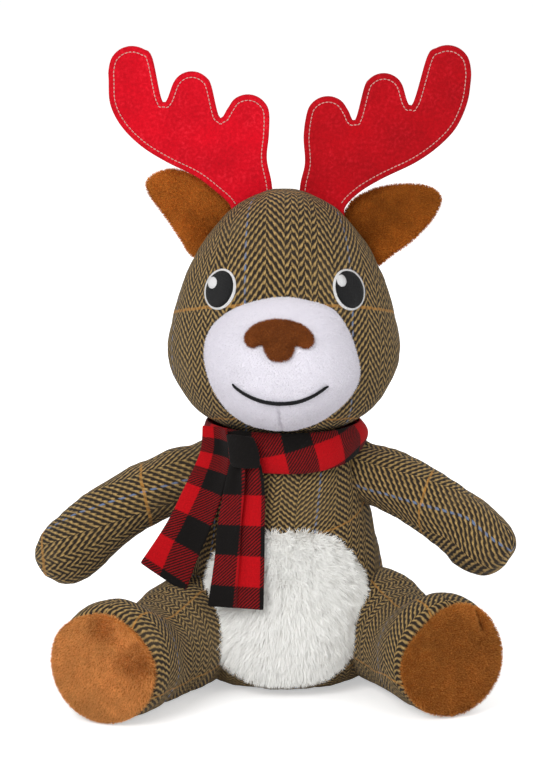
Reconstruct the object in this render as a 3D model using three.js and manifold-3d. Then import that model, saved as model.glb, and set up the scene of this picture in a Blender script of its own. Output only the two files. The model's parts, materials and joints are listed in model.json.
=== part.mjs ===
// A sitting plush reindeer: stuffed tweed head, body, arms and legs, a white plush muzzle and belly patch,
// brown plush ears and foot pads, flat felt antlers, embroidered eyes and mouth, and a checked flannel scarf.
// Millimetres, +Z up. The toy faces -Y, and the origin is the middle of its flat seat.
// Left is -X and right is +X, as the toy is seen from the front.
import * as THREE from 'three';
import { mergeVertices } from 'three/addons/utils/BufferGeometryUtils.js';
import Module from 'manifold-3d';

const wasm = await Module();
wasm.setup();

// Cloth and clearances
const coverThickness = 1.5;
const seamGap = 0.3;
const swingGap = 1;
const rootGap = 0.5;
const seatFlat = 0.5;
const facetMargin = 0.8;
const fillingHoleRadius = 9;
const holeDepth = 9;
const fillingNeck = 8;
const neckReach = 1.1;
const openReach = 2.2;

// Body: a pear that stands on a flattened seat
const seatRadius = 35;
const seatEdgeRadius = 45;
const seatEdgeHeight = 10;
const bellyRadius = 48;
const bellyHeight = 31;
const chestRadius = 43;
const chestHeight = 63;
const neckRadius = 33;
const neckTopRadius = 22;
const bodyHeight = 115.6;
const neckDrop = 13;
const bellyDepth = 43;

// Head: a dome that widens to the jaw
const headHeight = 109;
const headSeatRadius = 25;
const chinRadius = 43;
const chinHeight = 12;
const jawRadius = 52.6;
const jawHeight = 33;
const cheekRadius = 48.4;
const cheekHeight = 58;
const templeRadius = 39.6;
const templeHeight = 80;
const crownRadius = 25;
const crownHeight = 98.5;
const jawDepth = 46;

// Muzzle, nose and mouth
const muzzleWidth = 71;
const muzzleTall = 65;
const muzzleDeep = 54;
const muzzleHeight = 37.5;
const muzzleForward = 30;
const noseWidth = 30;
const noseTall = 17.4;
const noseHeight = 50.8;
const faceAside = -2;
const noseThickness = 2.6;
const noseStemWidth = 12;
const noseWingTall = 11.4;
const noseShoulder = 9.6;
const noseSlope = 5;
const noseWingRound = 3;
const noseNotch = 1;
const mouthRadius = 32;
const mouthHalfAngle = 40;
const mouthHeight = 23.5;
const threadWidth = 1.6;
const threadThickness = 0.7;

// Eyes: a white oval, a black oval on it and a small glint on that
const eyeSpacing = 57.5;
const eyeHeight = 67.8;
const eyeWidth = 13.2;
const eyeTall = 18.8;
const eyeLean = 25;
const rimWidth = 0.9;
const glintWidth = 4;
const glintTall = 5.4;
const glintAside = 3.2;
const glintAbove = 2.8;

// Ears
const earRootWidth = 25;
const earLower = [[9, -14.7], [27.5, -7.8], [36.5, -1.5]];
const earTip = [[37.6, 2.3], [34.3, 5.4]];
const earUpper = [[25.5, 17], [9, 17]];
const earThickness = 6;
const earBevel = 2;
const earCup = 3.2;
const earHeight = { left: 90, right: 87.5 };
const earBack = 13;
const earRoot = 6;
const earTilt = { left: 43, right: 24 };
const earFoldRange = [0, 45];

// Antlers: two layers of felt, a beam with three rounded tines
const feltThickness = 1.4;
const antlerBaseWidth = 20;
const antlerRoot = 6;
const antlerAside = { left: 13.5, right: 17 };
const antlerSink = 4;
const antlerBack = 3;
const antlerBendRange = [-15, 15];
const innerTine = { x: 2.7, z: 37.4, radius: 9.6, end: 20 };
const middleTine = { x: 27, z: 48.2, radius: 8.9, end: 10 };
const outerTine = { x: 54.6, z: 58.6, radius: 10.2, end: -20 };
const innerValley = { x: 14.8, z: 35.6 };
const outerValley = { x: 40.4, z: 42.6 };
const beamEdge = [[59, 32.5], [50, 23.1], [38.5, 15.7], [25.6, 9.3]];

// Arms
const armLength = 71;
const armExtra = { left: 4.5, right: -2.5 };
const shoulderRadius = 14.8;
const forearmRadius = 14.5;
const pawRadius = 15.6;
const armBendRadius = 135;
const shoulderDrop = 19.2;
const shoulderInset = 2.5;
const armDroop = { left: 14, right: 7.5 };
const armForward = { left: 3, right: 30 };
const armRange = [-8, 40];

// Legs and foot pads
const legLength = 79;
const hipRadius = 25;
const ankleRadius = 19.6;
const ankleShare = 0.57;
const footRadius = 25.8;
const footRound = 5;
const hipSpacing = 72;
const hipForward = { left: 12, right: -1 };
const legSplay = { left: 33, right: 28 };
const legRange = [-20, 3];
const padRadius = 24.2;
const padEdge = 1.6;
const padCrown = 5;

// Belly patch
const patchWidth = 76;
const patchTall = 74;
const patchHeight = 39;
const patchThickness = 3;

// Scarf: a flannel strip round the neck with two tails
const bandDrop = 0.2;
const bandTall = 13.9;
const bandRadius = 37;
const bandFold = 1.3;
const tailThickness = 2.8;
const tailFold = 1.6;
const tailTopWidth = 15;
const tailWidth = 25;
const tailFolds = 2;
const tailGather = 31;
const frontTail = { topX: -15, bottomX: -22.5, drop: 9, tall: 61.6 };
const leftTail = { topX: -34, bottomX: -54.5, drop: 1.6, tall: 60.5 };
const tailRange = [0, 50];

// Facets
const bodySides = 26;
const bodyRings = 12;
const headSides = 30;
const headRings = 15;
const muzzleSides = 26;
const armSides = 14;
const legSides = 18;
const socketSides = 12;
const rootFacets = 24;
const liningSocketSides = 10;
const liningSides = 18;
const liningRings = 8;
const liningFacets = 12;
const frontFacets = 8;
const padSides = 22;
const tubeRings = 8;
const tailFacets = 8;
const outlineFacets = 6;
const bevelFacets = 2;
const swingStep = 16;

const cloth = (color, roughness) => new THREE.MeshStandardMaterial({ color, roughness, metalness: 0 });
const materials = {
  tweed: () => cloth('#7a6549', 0.95),
  fibre: () => cloth('#f1efe9', 1),
  whitePlush: () => cloth('#e6e3e8', 0.95),
  brownPlush: () => cloth('#96561f', 0.95),
  redFelt: () => cloth('#d01028', 0.95),
  noseFelt: () => cloth('#8a4a1c', 0.95),
  blackThread: () => cloth('#141414', 0.6),
  whiteThread: () => cloth('#f4f2ee', 0.6),
  flannel: () => cloth('#a5161f', 0.9),
};

// Merged triangles of a closed geometry, turned so that its faces point out
function triangles(geometry) {
  const bare = geometry.clone();
  bare.deleteAttribute('normal');
  bare.deleteAttribute('uv');
  const merged = mergeVertices(bare, 1e-4);
  const index = merged.index.array;
  const kept = [];
  const a = new THREE.Vector3();
  const b = new THREE.Vector3();
  const c = new THREE.Vector3();
  let volume = 0;
  for (let i = 0; i < index.length; i += 3) {
    const [p, q, r] = [index[i], index[i + 1], index[i + 2]];
    if (p === q || q === r || r === p) continue;
    kept.push([p, q, r]);
    a.fromBufferAttribute(merged.attributes.position, p);
    b.fromBufferAttribute(merged.attributes.position, q);
    c.fromBufferAttribute(merged.attributes.position, r);
    volume += a.dot(b.cross(c));
  }
  const outward = volume > 0 ? kept : kept.map(([p, q, r]) => [p, r, q]);
  merged.setIndex(outward.flat());
  return merged;
}

function solid(geometry) {
  const merged = triangles(geometry);
  const vertProperties = new Float32Array(merged.attributes.position.array);
  const triVerts = new Uint32Array(merged.index.array);
  return new wasm.Manifold(new wasm.Mesh({ numProp: 3, vertProperties, triVerts }));
}

function geometryOf(body) {
  const { vertProperties, triVerts } = body.getMesh();
  const geometry = new THREE.BufferGeometry();
  geometry.setAttribute('position', new THREE.BufferAttribute(new Float32Array(vertProperties), 3));
  geometry.setIndex(new THREE.BufferAttribute(new Uint32Array(triVerts), 1));
  geometry.computeVertexNormals();
  return geometry;
}

// A smooth closed form moved out along its normals, or in for a negative distance
function grown(geometry, distance) {
  const merged = triangles(geometry);
  merged.computeVertexNormals();
  const { position, normal } = merged.attributes;
  for (let i = 0; i < position.count; i += 1) {
    position.setXYZ(
      i,
      position.getX(i) + normal.getX(i) * distance,
      position.getY(i) + normal.getY(i) * distance,
      position.getZ(i) + normal.getZ(i) * distance,
    );
  }
  merged.deleteAttribute('normal');
  return merged;
}

const radians = THREE.MathUtils.degToRad;
// A faceted ball whose faces all lie outside the given radius
const ball = (radius, centre, facets = socketSides) =>
  new THREE.SphereGeometry(radius / Math.cos(Math.PI / facets) ** 2, facets, facets / 2).translate(...centre);

function turnedAbout(geometry, pivot, axis, degrees) {
  const turn = new THREE.Matrix4().makeRotationAxis(axis, radians(degrees));
  return geometry.clone().translate(...pivot.clone().negate()).applyMatrix4(turn).translate(...pivot);
}

// All the space that a neighbour takes up for a piece that its hinge turns through a range
function sweptSpace(neighbour, pivot, axis, [low, high]) {
  const steps = Math.ceil((high - low) / swingStep);
  const stops = Array.from({ length: steps + 1 }, (_, step) => low + ((high - low) * step) / steps);
  return stops
    .map((degrees) => solid(turnedAbout(neighbour, pivot, axis, -degrees)))
    .reduce((space, stop) => space.add(stop));
}

// The largest of the bodies that a cut leaves, without its crumbs
function mainBody(piece) {
  return piece.decompose().reduce((best, body) => (body.volume() > best.volume() ? body : best));
}

// A profile through [radius, height] points that closes smoothly over the axis at its top
function domedProfile(points, rings) {
  const [x, y] = points.at(-2);
  const curve = new THREE.SplineCurve([...points, [-x, y]].map((point) => new THREE.Vector2(...point)));
  const share = (points.length - 1) / points.length;
  const profile = Array.from({ length: rings + 1 }, (_, i) => curve.getPoint((share * i) / rings));
  profile.at(-1).x = 0;
  return profile;
}

// A profile through [radius, height] points with flat ends
function flatEndedProfile(points, rings) {
  const curve = new THREE.SplineCurve(points.map((point) => new THREE.Vector2(...point)));
  const profile = curve.getPoints(rings);
  return [new THREE.Vector2(0, profile[0].y), ...profile, new THREE.Vector2(0, profile.at(-1).y)];
}

const upright = (profile, sides, depthScale) =>
  new THREE.LatheGeometry(profile, sides).rotateX(Math.PI / 2).scale(1, depthScale, 1);

// The radius of a form at a height, read along its profile
function radiusAt(profile, height) {
  const rim = profile.filter((point) => point.x > 0);
  const above = rim.findIndex((point) => point.y >= height);
  if (above < 1) return above === 0 ? rim[0].x : rim.at(-1).x;
  const [low, high] = [rim[above - 1], rim[above]];
  return THREE.MathUtils.mapLinear(height, low.y, high.y, low.x, high.x);
}

// Body and head forms

const bodyPoints = [
  [seatRadius, -seatFlat], [seatEdgeRadius, seatEdgeHeight], [bellyRadius, bellyHeight],
  [chestRadius, chestHeight], [neckRadius, bodyHeight - neckDrop], [neckTopRadius, bodyHeight],
];
const bodyProfile = flatEndedProfile(bodyPoints, bodyRings);
const bodyDepthScale = bellyDepth / bellyRadius;
const bodyForm = upright(bodyProfile, bodySides, bodyDepthScale);
const bodyLining = upright(flatEndedProfile(bodyPoints, liningRings), liningSides, bodyDepthScale);

// How far forwards a point must lie to stand off the body, or the scarf band, at a place seen from the front
const frontOf = (radius, x) => -bodyDepthScale * Math.sqrt(Math.max(radius ** 2 - x ** 2, 0));
const bodyFrontAt = (x, z, standOff) => frontOf(radiusAt(bodyProfile, z) + standOff / bodyDepthScale, x);

const headBase = bodyHeight + seamGap;
const headPoints = [
  [headSeatRadius, 0], [chinRadius, chinHeight], [jawRadius, jawHeight], [cheekRadius, cheekHeight],
  [templeRadius, templeHeight], [crownRadius, crownHeight], [0, headHeight],
];
const headDepthScale = jawDepth / jawRadius;
const headShape = (sides, rings) => {
  const profile = [new THREE.Vector2(0, 0), ...domedProfile(headPoints, rings)];
  return upright(profile, sides, headDepthScale).translate(0, 0, headBase);
};
const headForm = headShape(headSides, headRings);
const headLining = headShape(liningSides, liningRings);
const headProfile = domedProfile(headPoints, headRings);

// All the space below a height
const spaceSize = 1000;
const below = (height) =>
  solid(new THREE.BoxGeometry(spaceSize, spaceSize, spaceSize).translate(0, 0, height - spaceSize / 2));
const floorCut = below(0);

// Limb forms: a ball at the root, then a stuffed tube along a bending centreline

const quarterTurn = [0, 0.25, 0.5, 0.75].map((share) => (share * Math.PI) / 2);

// Half a section of a limb, as [radius, distance along the limb], from the root to the rounded end
function limbProfile(radii, roundEnd) {
  const [rootRadius, endRadius] = [radii[0][1], radii.at(-1)[1]];
  const length = radii.at(-1)[0];
  const root = quarterTurn.map((t) => [rootRadius * Math.sin(t), -rootRadius * Math.cos(t)]);
  const tube = new THREE.SplineCurve(radii.map(([s, r]) => new THREE.Vector2(r, s))).getPoints(tubeRings);
  const end = quarterTurn.slice(1).map((t) => [
    endRadius - roundEnd + roundEnd * Math.cos(t),
    length + roundEnd * Math.sin(t),
  ]);
  const flat = [[endRadius - roundEnd, length + roundEnd], [0, length + roundEnd]];
  return [...root, ...tube.map((point) => [point.x, point.y]), ...end, ...flat];
}

// The space inside a limb: a narrow neck through the root seam that opens out to the cover's full width
function coreProfile(radii, roundEnd, inset, start) {
  const rootRadius = radii[0][1];
  const neck = fillingNeck - inset;
  const endRadius = radii.at(-1)[1] - inset;
  const top = radii.at(-1)[0] + roundEnd - inset;
  const round = Math.min(roundEnd, endRadius);
  const end = quarterTurn.map((t) => [
    endRadius - round + round * Math.cos(t),
    top - round + round * Math.sin(t),
  ]);
  const flat = [[endRadius - round, top], [0, top]];
  const middle = [radii[1][1] - inset, openReach * rootRadius];
  return [[0, start], [neck, start], [neck, 0], [neck, neckReach * rootRadius], middle, ...end, ...flat];
}

// Revolves a limb's profile and bends it downwards from +X along its length
function limbForm(profile, length, bendRadius, facets) {
  const points = profile.map((point) => new THREE.Vector2(...point));
  const form = triangles(new THREE.LatheGeometry(points, facets));
  const { position } = form.attributes;
  for (let i = 0; i < position.count; i += 1) {
    const along = position.getY(i);
    const bend = THREE.MathUtils.clamp(along, 0, length) / bendRadius;
    const straight = along - THREE.MathUtils.clamp(along, 0, length);
    const up = position.getX(i);
    const x = bendRadius * Math.sin(bend) + straight * Math.cos(bend) + up * Math.sin(bend);
    const z = -bendRadius * (1 - Math.cos(bend)) - straight * Math.sin(bend) + up * Math.cos(bend);
    position.setXYZ(i, x, position.getZ(i), z);
  }
  return form;
}

// Turns a limb that lies along +X to point down by droop, round by heading, and moves its root to the pivot
const placedLimb = (form, droop, heading, pivot) =>
  form.clone().rotateY(radians(droop)).rotateZ(radians(heading)).translate(...pivot);

const sides = ['left', 'right'];
const sign = { left: -1, right: 1 };

const shoulderHeight = bodyHeight - shoulderDrop;
const shoulderX = radiusAt(bodyProfile, shoulderHeight) - shoulderInset;
const shoulders = {};
const hips = {};
for (const side of sides) {
  shoulders[side] = new THREE.Vector3(sign[side] * shoulderX, 0, shoulderHeight);
  hips[side] = new THREE.Vector3(sign[side] * (hipSpacing / 2), -hipForward[side], footRadius - seatFlat);
}

// Cuts the four limb sockets out of a body form, larger by the given clearance
function socketed(form, clearance, facets) {
  let body = solid(form).subtract(floorCut);
  for (const side of sides) {
    body = body.subtract(solid(ball(shoulderRadius + clearance, shoulders[side], facets)));
    body = body.subtract(solid(ball(hipRadius + clearance, hips[side], facets)));
  }
  return body;
}

const meshes = new THREE.Group();

function group(parent, pivot) {
  const made = new THREE.Group();
  const parentPivot = parent.userData.pivot ?? new THREE.Vector3();
  made.position.copy(pivot).sub(parentPivot);
  made.userData.pivot = pivot;
  parent.add(made);
  return made;
}

function add(parent, name, body, material) {
  const pivot = parent.userData.pivot ?? new THREE.Vector3();
  const geometry = geometryOf(mainBody(body)).translate(...pivot.clone().negate());
  const mesh = new THREE.Mesh(geometry, material());
  mesh.name = name;
  parent.add(mesh);
}

const fillingHole = (centre) => solid(
  new THREE.CylinderGeometry(fillingHoleRadius, fillingHoleRadius, holeDepth, socketSides)
    .rotateX(Math.PI / 2)
    .translate(...centre),
);

// Body cover, filling and belly patch

const neckHole = fillingHole([0, 0, bodyHeight]);
const hollowFloor = below(coverThickness);
const fillingFloor = below(coverThickness + seamGap);
const bodyInside = socketed(grown(bodyLining, -coverThickness), rootGap + coverThickness, liningSocketSides)
  .subtract(hollowFloor);
const bodyCover = socketed(bodyForm, rootGap, socketSides).subtract(bodyInside).subtract(neckHole);
const bodyPacking = grown(bodyLining, -coverThickness - seamGap);
const bodyFilling = socketed(bodyPacking, rootGap + coverThickness + seamGap, liningSocketSides)
  .subtract(fillingFloor);
add(meshes, 'body_cover', bodyCover, materials.tweed);
add(meshes, 'body_filling', bodyFilling, materials.fibre);

// A flat outline drawn in X and Z, made a prism that runs forwards from a start
function frontPrism(shape, start) {
  const options = { depth: spaceSize, bevelEnabled: false, curveSegments: frontFacets };
  return new THREE.ExtrudeGeometry(shape, options)
    .rotateX(Math.PI / 2)
    .translate(0, start, 0);
}

// A layer of plush, felt or thread on a form: the outline seen from the front, between two distances
function frontLayer(shape, form, from, to, start = 0) {
  const prism = solid(frontPrism(shape, start));
  return prism.intersect(solid(grown(form, to))).subtract(solid(grown(form, from)));
}

const ellipse = (x, z, width, tall, lean = 0) =>
  new THREE.Shape().absellipse(x, z, width / 2, tall / 2, 0, 2 * Math.PI, false, radians(lean));

const patchShape = ellipse(0, patchHeight, patchWidth, patchTall);
const bellyPatch = frontLayer(patchShape, bodyForm, seamGap, seamGap + patchThickness)
  .subtract(floorCut)
  .subtract(solid(ball(hipRadius + rootGap, hips.left)))
  .subtract(solid(ball(hipRadius + rootGap, hips.right)));
add(meshes, 'belly_patch', bellyPatch, materials.whitePlush);

// Head cover, filling and face

const head = group(meshes, new THREE.Vector3(0, 0, headBase));
const headHole = fillingHole([0, 0, headBase]);
const headInside = solid(grown(headLining, -coverThickness));
add(head, 'head_cover', solid(headForm).subtract(headInside).subtract(headHole), materials.tweed);
add(head, 'head_filling', solid(grown(headLining, -coverThickness - seamGap)), materials.fibre);

const muzzleForm = new THREE.SphereGeometry(1, muzzleSides, muzzleSides / 2)
  .scale(muzzleWidth / 2, muzzleDeep / 2, muzzleTall / 2)
  .translate(0, -muzzleForward, headBase + muzzleHeight);
const muzzle = solid(muzzleForm).subtract(solid(grown(headForm, seamGap)));
add(head, 'muzzle_panel', muzzle, materials.whitePlush);

// The nose has a broad bridge, two drooping wings and a rounded stem
function noseShape() {
  const top = headBase + noseHeight + noseTall / 2;
  const wing = top - noseWingTall;
  const shape = new THREE.Shape();
  shape.moveTo(0, top);
  const half = noseWidth / 2;
  const stem = noseStemWidth / 2;
  shape.bezierCurveTo(noseShoulder, top, half, wing + noseSlope, half, wing + noseWingRound);
  shape.quadraticCurveTo(half, wing, stem + noseNotch, wing);
  shape.quadraticCurveTo(stem, top - noseTall, 0, top - noseTall);
  shape.quadraticCurveTo(-stem, top - noseTall, -stem - noseNotch, wing);
  shape.quadraticCurveTo(-half, wing, -half, wing + noseWingRound);
  shape.bezierCurveTo(-half, wing + noseSlope, -noseShoulder, top, 0, top);
  return shape;
}
const onFace = (shape) =>
  new THREE.Shape(shape.getPoints(frontFacets).map((point) => point.setX(point.x + faceAside)));
const nose = frontLayer(onFace(noseShape()), muzzleForm, seamGap, seamGap + noseThickness, -muzzleForward);
add(head, 'nose', nose, materials.noseFelt);

// The mouth is one embroidered arc
function mouthShape() {
  const centre = headBase + mouthHeight + mouthRadius;
  const [from, to] = [radians(270 - mouthHalfAngle), radians(270 + mouthHalfAngle)];
  const shape = new THREE.Shape();
  shape.absarc(0, centre, mouthRadius + threadWidth / 2, from, to, false);
  shape.absarc(0, centre, mouthRadius - threadWidth / 2, to, from, true);
  return shape;
}
const threadFront = seamGap + threadThickness;
const mouth = frontLayer(onFace(mouthShape()), muzzleForm, seamGap, threadFront, -muzzleForward);
add(head, 'mouth_stitch', mouth, materials.blackThread);

for (const side of sides) {
  const x = (sign[side] * eyeSpacing) / 2;
  const z = headBase + eyeHeight;
  const lean = sign[side] * eyeLean;
  const clearOfMuzzle = (layer) => layer.subtract(solid(grown(muzzleForm, seamGap)));
  const layerStep = threadThickness + seamGap;
  const eyeLayers = [
    ['rim', ellipse(x, z, eyeWidth, eyeTall, lean), materials.whiteThread],
    ['pupil', ellipse(x, z, eyeWidth - 2 * rimWidth, eyeTall - 2 * rimWidth, lean), materials.blackThread],
    ['glint', ellipse(x - glintAside, z + glintAbove, glintWidth, glintTall), materials.whiteThread],
  ];
  eyeLayers.forEach(([layerName, shape, material], i) => {
    const layer = frontLayer(shape, headForm, seamGap + i * layerStep, (i + 1) * layerStep);
    add(head, `${side}_eye_${layerName}`, clearOfMuzzle(layer), material);
  });
}

// Ears: padded leaves that fold back at the seam over the head

function earForm() {
  const half = earRootWidth / 2;
  const shape = new THREE.Shape();
  shape.moveTo(-earRoot, -half);
  shape.bezierCurveTo(...earLower.flat());
  shape.quadraticCurveTo(...earTip.flat());
  shape.bezierCurveTo(...earUpper.flat(), -earRoot, half);
  const form = triangles(new THREE.ExtrudeGeometry(shape, {
    depth: earThickness - 2 * earBevel,
    bevelThickness: earBevel,
    bevelSize: earBevel,
    bevelOffset: -earBevel,
    bevelSegments: bevelFacets,
    curveSegments: outlineFacets,
  }).translate(0, 0, earBevel - earThickness / 2));
  const { position } = form.attributes;
  for (let i = 0; i < position.count; i += 1) {
    const across = position.getY(i) / half;
    position.setZ(i, position.getZ(i) + earCup * (across ** 2 - 1));
  }
  return form.rotateX(Math.PI / 2);
}

const grownHead = grown(headLining, swingGap + facetMargin);
for (const side of sides) {
  const seamX = radiusAt(headProfile, earHeight[side]);
  const root = new THREE.Vector3(sign[side] * seamX, earBack, headBase + earHeight[side]);
  const tilt = side === 'left' ? 180 - earTilt.left : earTilt.right;
  const form = earForm().rotateY(-radians(tilt)).translate(...root);
  const hinge = new THREE.Vector3(-Math.sin(radians(tilt)), 0, Math.cos(radians(tilt)));
  const ear = solid(form).subtract(sweptSpace(grownHead, root, hinge, earFoldRange));
  add(group(head, root), `${side}_ear`, ear, materials.brownPlush);
}

// Antlers: front and back felt layers of one outline, drawn for the right side from the middle of its base

function antlerShape() {
  const half = antlerBaseWidth / 2;
  const shape = new THREE.Shape();
  const tine = ({ x, z, radius, end }) => shape.absarc(x, z, radius, Math.PI, radians(end), true);
  const valley = ({ x, z }, before, after) => {
    shape.quadraticCurveTo(before.x + before.radius, z, x, z);
    shape.quadraticCurveTo(after.x - after.radius, z, after.x - after.radius, after.z);
  };
  shape.moveTo(-half, -antlerRoot);
  shape.lineTo(innerTine.x - innerTine.radius, innerTine.z);
  tine(innerTine);
  valley(innerValley, innerTine, middleTine);
  tine(middleTine);
  valley(outerValley, middleTine, outerTine);
  tine(outerTine);
  shape.splineThru([...beamEdge, [half, -antlerRoot]].map((point) => new THREE.Vector2(...point)));
  return shape;
}

for (const side of sides) {
  const aside = antlerAside[side];
  const seat = headProfile.find((point) => point.x <= aside && point.y > jawHeight);
  const base = new THREE.Vector3(sign[side] * aside, antlerBack, headBase + seat.y - antlerSink);
  const antler = group(head, base);
  const headSpace = sweptSpace(grownHead, base, new THREE.Vector3(1, 0, 0), antlerBendRange);
  ['front', 'back'].forEach((layerName, i) => {
    const layer = new THREE.ExtrudeGeometry(antlerShape(), {
      depth: feltThickness,
      bevelEnabled: false,
      curveSegments: outlineFacets,
    })
      .rotateX(Math.PI / 2)
      .translate(0, feltThickness + i * (feltThickness + seamGap), 0)
      .scale(sign[side], 1, 1)
      .translate(...base);
    add(antler, `${side}_antler_${layerName}`, solid(layer).subtract(headSpace), materials.redFelt);
  });
}

// Arms

function armShape(side) {
  const length = armLength + armExtra[side];
  return {
    name: 'arm',
    radii: [[0, shoulderRadius], [length / 2, forearmRadius], [length, pawRadius]],
    roundEnd: pawRadius,
    bendRadius: armBendRadius,
    facets: armSides,
  };
}

// Legs, each with a pad that closes its foot

const straight = 1e5;
const legRadii = [[0, hipRadius], [legLength * ankleShare, ankleRadius], [legLength - footRound, footRadius]];
const leg = {
  name: 'leg',
  radii: legRadii,
  roundEnd: footRound,
  bendRadius: straight,
  facets: legSides,
};
const padRise = padCrown - padEdge;
const padDome = quarterTurn.map((t) => [padRadius * Math.cos(t), padEdge + padRise * Math.sin(t)]);
const padProfile = [[0, 0], [padRadius, 0], ...padDome, [0, padCrown]];
const padForm = new THREE.LatheGeometry(padProfile.map((point) => new THREE.Vector2(...point)), padSides)
  .rotateZ(-Math.PI / 2)
  .translate(legLength + seamGap, 0, 0);

// The scarf band's form: a soft ring with two folds that lies on the neck under the jaw

const bandTop = bodyHeight - bandDrop;
const bandBottom = bandTop - bandTall;
const bandProfile = [
  [neckTopRadius, bandBottom], [bandRadius - 2 * bandFold, bandBottom],
  [bandRadius, bandBottom + 2 * bandFold],
  [bandRadius - bandFold, bandTop - bandTall / 2], [bandRadius, bandTop - 2 * bandFold],
  [bandRadius - 3 * bandFold, bandTop], [neckTopRadius, bandTop], [neckTopRadius, bandBottom],
].map((point) => new THREE.Vector2(...point));
const bandForm = upright(bandProfile, bodySides, bodyDepthScale);

// Builds a limb's cover and filling about its pivot, cut clear of the body through its whole swing
function addLimb(side, shape, { pivot, droop, heading, neighbours, range }) {
  const { name, radii, roundEnd, bendRadius, facets } = shape;
  const limb = group(meshes, pivot);
  const rootRadius = radii[0][1];
  const place = (geometry) => placedLimb(geometry, droop, heading, pivot);
  const made = (profile, count) => solid(place(limbForm(profile, radii.at(-1)[0], bendRadius, count)));
  const hinge = new THREE.Vector3(Math.sin(radians(heading)), -Math.cos(radians(heading)), 0);
  const rootBall = new THREE.SphereGeometry(rootRadius + rootGap, rootFacets, rootFacets / 2);
  const socket = solid(rootBall.translate(...pivot));
  const outside = made(limbProfile(radii, roundEnd), facets).subtract(floorCut);
  const hollow = made(coreProfile(radii, roundEnd, coverThickness, -2 * rootRadius), liningFacets);
  const cleared = neighbours.reduce(
    (cut, form) => cut.subtract(sweptSpace(form, pivot, hinge, range).subtract(socket)),
    outside,
  );
  add(limb, `${side}_${name}_cover`, cleared.subtract(hollow.subtract(hollowFloor)), materials.tweed);
  const filling = made(coreProfile(radii, roundEnd, coverThickness + seamGap, -rootRadius / 2), liningFacets);
  add(limb, `${side}_${name}_filling`, filling.subtract(fillingFloor), materials.fibre);
  return { limb, place };
}

const besideArms = [grown(bodyLining, swingGap + facetMargin), grown(bandForm, swingGap)];
const besideLegs = [grown(bodyLining, seamGap + patchThickness + swingGap + facetMargin)];
for (const side of sides) {
  addLimb(side, armShape(side), {
    pivot: shoulders[side],
    droop: armDroop[side],
    heading: side === 'left' ? 180 + armForward.left : -armForward.right,
    neighbours: besideArms,
    range: armRange,
  });
  const { limb, place } = addLimb(side, leg, {
    pivot: hips[side],
    droop: 0,
    heading: side === 'left' ? 270 - legSplay.left : legSplay.right - 90,
    neighbours: besideLegs,
    range: legRange,
  });
  add(limb, `${side}_foot_pad`, solid(place(padForm)).subtract(floorCut), materials.brownPlush);
}

// Scarf band

const armSpace = sides.map((side) => solid(ball(shoulderRadius + rootGap, shoulders[side])));
const neckSpace = solid(grown(bodyForm, seamGap));
const band = solid(bandForm).subtract(neckSpace).subtract(armSpace[0]).subtract(armSpace[1]);
add(meshes, 'scarf_neck_band', band, materials.flannel);

// Scarf tails: strips that hang from the band, gathered narrow at the top, with folds down their length
function tailForm({ topX, bottomX, drop, tall }, frontAt) {
  const form = triangles(new THREE.BoxGeometry(1, tall, tailThickness, tailFacets, tailFacets, 1));
  const { position } = form.attributes;
  const slant = (bottomX - topX) / tall;
  for (let i = 0; i < position.count; i += 1) {
    const across = position.getX(i);
    const down = tall / 2 - position.getY(i);
    const width = THREE.MathUtils.lerp(tailTopWidth, tailWidth, Math.min(down / tailGather, 1));
    const x = topX + down * slant + across * width;
    const z = bodyHeight - drop - down + across * width * slant;
    const fold = tailFold * Math.cos(across * tailFolds * 2 * Math.PI);
    const y = frontAt(x, z) - tailThickness / 2 - tailFold - fold + position.getZ(i);
    position.setXYZ(i, x, y, z);
  }
  return form;
}

const furFront = patchThickness + 2 * seamGap + facetMargin;
const armFront = -pawRadius - swingGap - facetMargin;
const hangs = {
  front: [frontTail, (x, z) => Math.min(bodyFrontAt(x, z, furFront), frontOf(bandRadius, x) + tailThickness)],
  left: [leftTail, (x, z) => Math.min(bodyFrontAt(x, z, furFront), armFront)],
};
const grownBand = grown(bandForm, seamGap);
const tailHinge = new THREE.Vector3(-1, 0, 0);
for (const [tailName, [tail, frontAt]] of Object.entries(hangs)) {
  const topZ = bodyHeight - tail.drop;
  const pivot = new THREE.Vector3(tail.topX, frontAt(tail.topX, topZ), topZ);
  const strip = solid(tailForm(tail, frontAt)).subtract(sweptSpace(grownBand, pivot, tailHinge, tailRange));
  add(group(meshes, pivot), `scarf_${tailName}_tail`, strip, materials.flannel);
}

export default meshes;
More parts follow.
